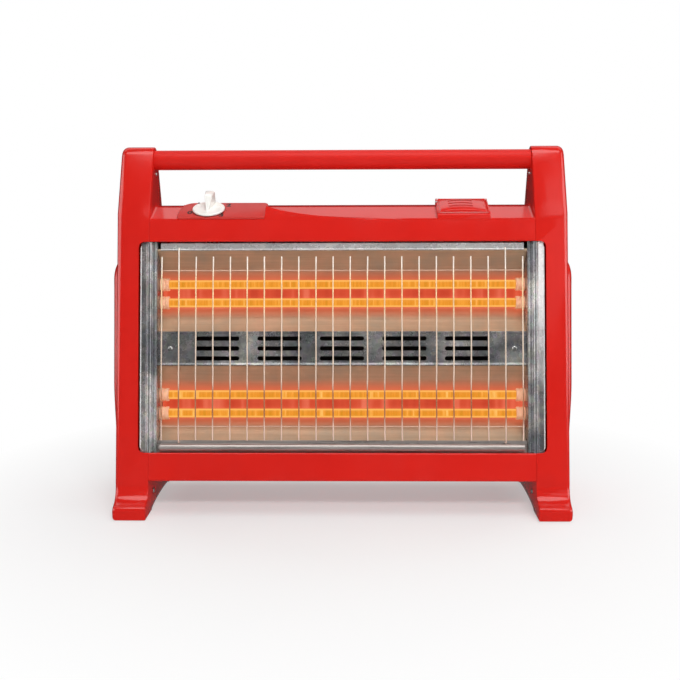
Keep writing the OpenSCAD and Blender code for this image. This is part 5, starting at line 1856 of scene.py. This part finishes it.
def reflection_card(name, azimuths, elevations, brightness):
    """A card that shows only in reflections: azimuth 0 is in front, 90 at the right, in degrees."""
    build = bmesh.new()
    steps = max(1, round((azimuths[1] - azimuths[0]) / 10))
    rows = []
    for elevation in elevations:
        e = radians(elevation)
        around = [radians(azimuths[0] + (azimuths[1] - azimuths[0]) * k / steps) for k in range(steps + 1)]
        ways = [Vector((sin(a) * cos(e), -cos(a) * cos(e), sin(e))) for a in around]
        rows.append([build.verts.new(CARDS_AT + CARD_AWAY * way) for way in ways])
    for k in range(steps):
        build.faces.new((rows[0][k], rows[0][k + 1], rows[1][k + 1], rows[1][k]))
    made = object_from(name, mesh_from(name, build))
    mat, tree, _ = finish_named(name, (0, 0, 0), 1.0)
    glow = add(tree, "ShaderNodeEmission", {"Color": (1, 1, 1, 1), "Strength": brightness})
    tree.links.new(glow.outputs[0], tree.nodes["Material Output"].inputs["Surface"])
    made.data.materials.append(mat)
    made.visible_camera = False
    made.visible_diffuse = False
    made.visible_transmission = False
    made.visible_shadow = False
    return made


studio_floor()
reflection_card("right_front_softbox", (14.5, 46), (11.5, 25), 0.5)
reflection_card("right_high_softbox", (7, 46), (30, 46), 0.8)
reflection_card("overhead_softbox", (-60, 60), (54, 85), 3.4)
reflection_card("right_side_strip", (47, 96), (-4, 36), 3.2)
reflection_card("left_side_strip", (-104, -42), (-4, 36), 2.8)
reflection_card("white_behind", (110, 250), (39, 60), 1.15)
reflection_card("dark_behind", (115, 245), (-4, 34), 0.03)

world = bpy.data.worlds.new("studio")
bpy.context.scene.world = world
world.use_nodes = True
tree = world.node_tree
tree.nodes.clear()
rays = add(tree, "ShaderNodeLightPath")
seen = math(tree, "MAXIMUM", rays.outputs["Is Camera Ray"], rays.outputs["Is Transmission Ray"])
soft = math(tree, "MULTIPLY", rays.outputs["Is Diffuse Ray"], 0.37)
level = math(tree, "MAXIMUM", math(tree, "MAXIMUM", seen, soft), 0.08)
light = add(tree, "ShaderNodeBackground", {"Color": (1, 1, 1, 1), "Strength": level})
out = add(tree, "ShaderNodeOutputWorld")
tree.links.new(light.outputs[0], out.inputs["Surface"])


def soft_lamp(name, place_at, look_at, size, watts):
    lamp = bpy.data.lights.new(name, "AREA")
    lamp.shape = "RECTANGLE"
    lamp.size, lamp.size_y = size
    lamp.energy = watts
    made = object_from(name, lamp)
    made.location = place_at
    made.rotation_euler = (Vector(look_at) - Vector(place_at)).to_track_quat("-Z", "Y").to_euler()
    made.visible_glossy = False
    return made


soft_lamp("top_softbox", place_at=(0.4, 0.1, 1.9), look_at=(0, 0, 0.2), size=(1.8, 1.4), watts=12)
soft_lamp("front_fill", place_at=(0.5, -2.05, 1.72), look_at=(0, 0, 0.25), size=(1.2, 0.35), watts=31)

# %% [markdown]
# ## Camera
# The photograph was taken almost square from the front, a little above the heater. The place and
# the lens come from matching the corners of the real sizes to the picture's 680 pixels.

# %% Camera
CAMERA_AT = (0.0192, -1.2192, 0.3986)
YAW, PITCH, ROLL = radians(-1.032), radians(9.215), radians(-0.2)
FOCAL_PIXELS = 1000
PICTURE_PIXELS = 680
forward = Vector((sin(YAW) * cos(PITCH), cos(YAW) * cos(PITCH), -sin(PITCH)))
right = Vector((cos(YAW), -sin(YAW), 0))
up = right.cross(forward)
level_right = right * cos(ROLL) + up * sin(ROLL)
level_up = -right * sin(ROLL) + up * cos(ROLL)
lens = bpy.data.cameras.new("photo_camera")
lens.sensor_width = 36
lens.lens = lens.sensor_width * FOCAL_PIXELS / PICTURE_PIXELS
lens.clip_start = 0.02
camera = object_from("photo_camera", lens)
aim = Matrix((level_right, level_up, -forward)).transposed().to_4x4()
camera.matrix_world = Matrix.Translation(CAMERA_AT) @ aim
bpy.context.scene.camera = camera
bpy.context.scene.view_settings.view_transform = "Standard"
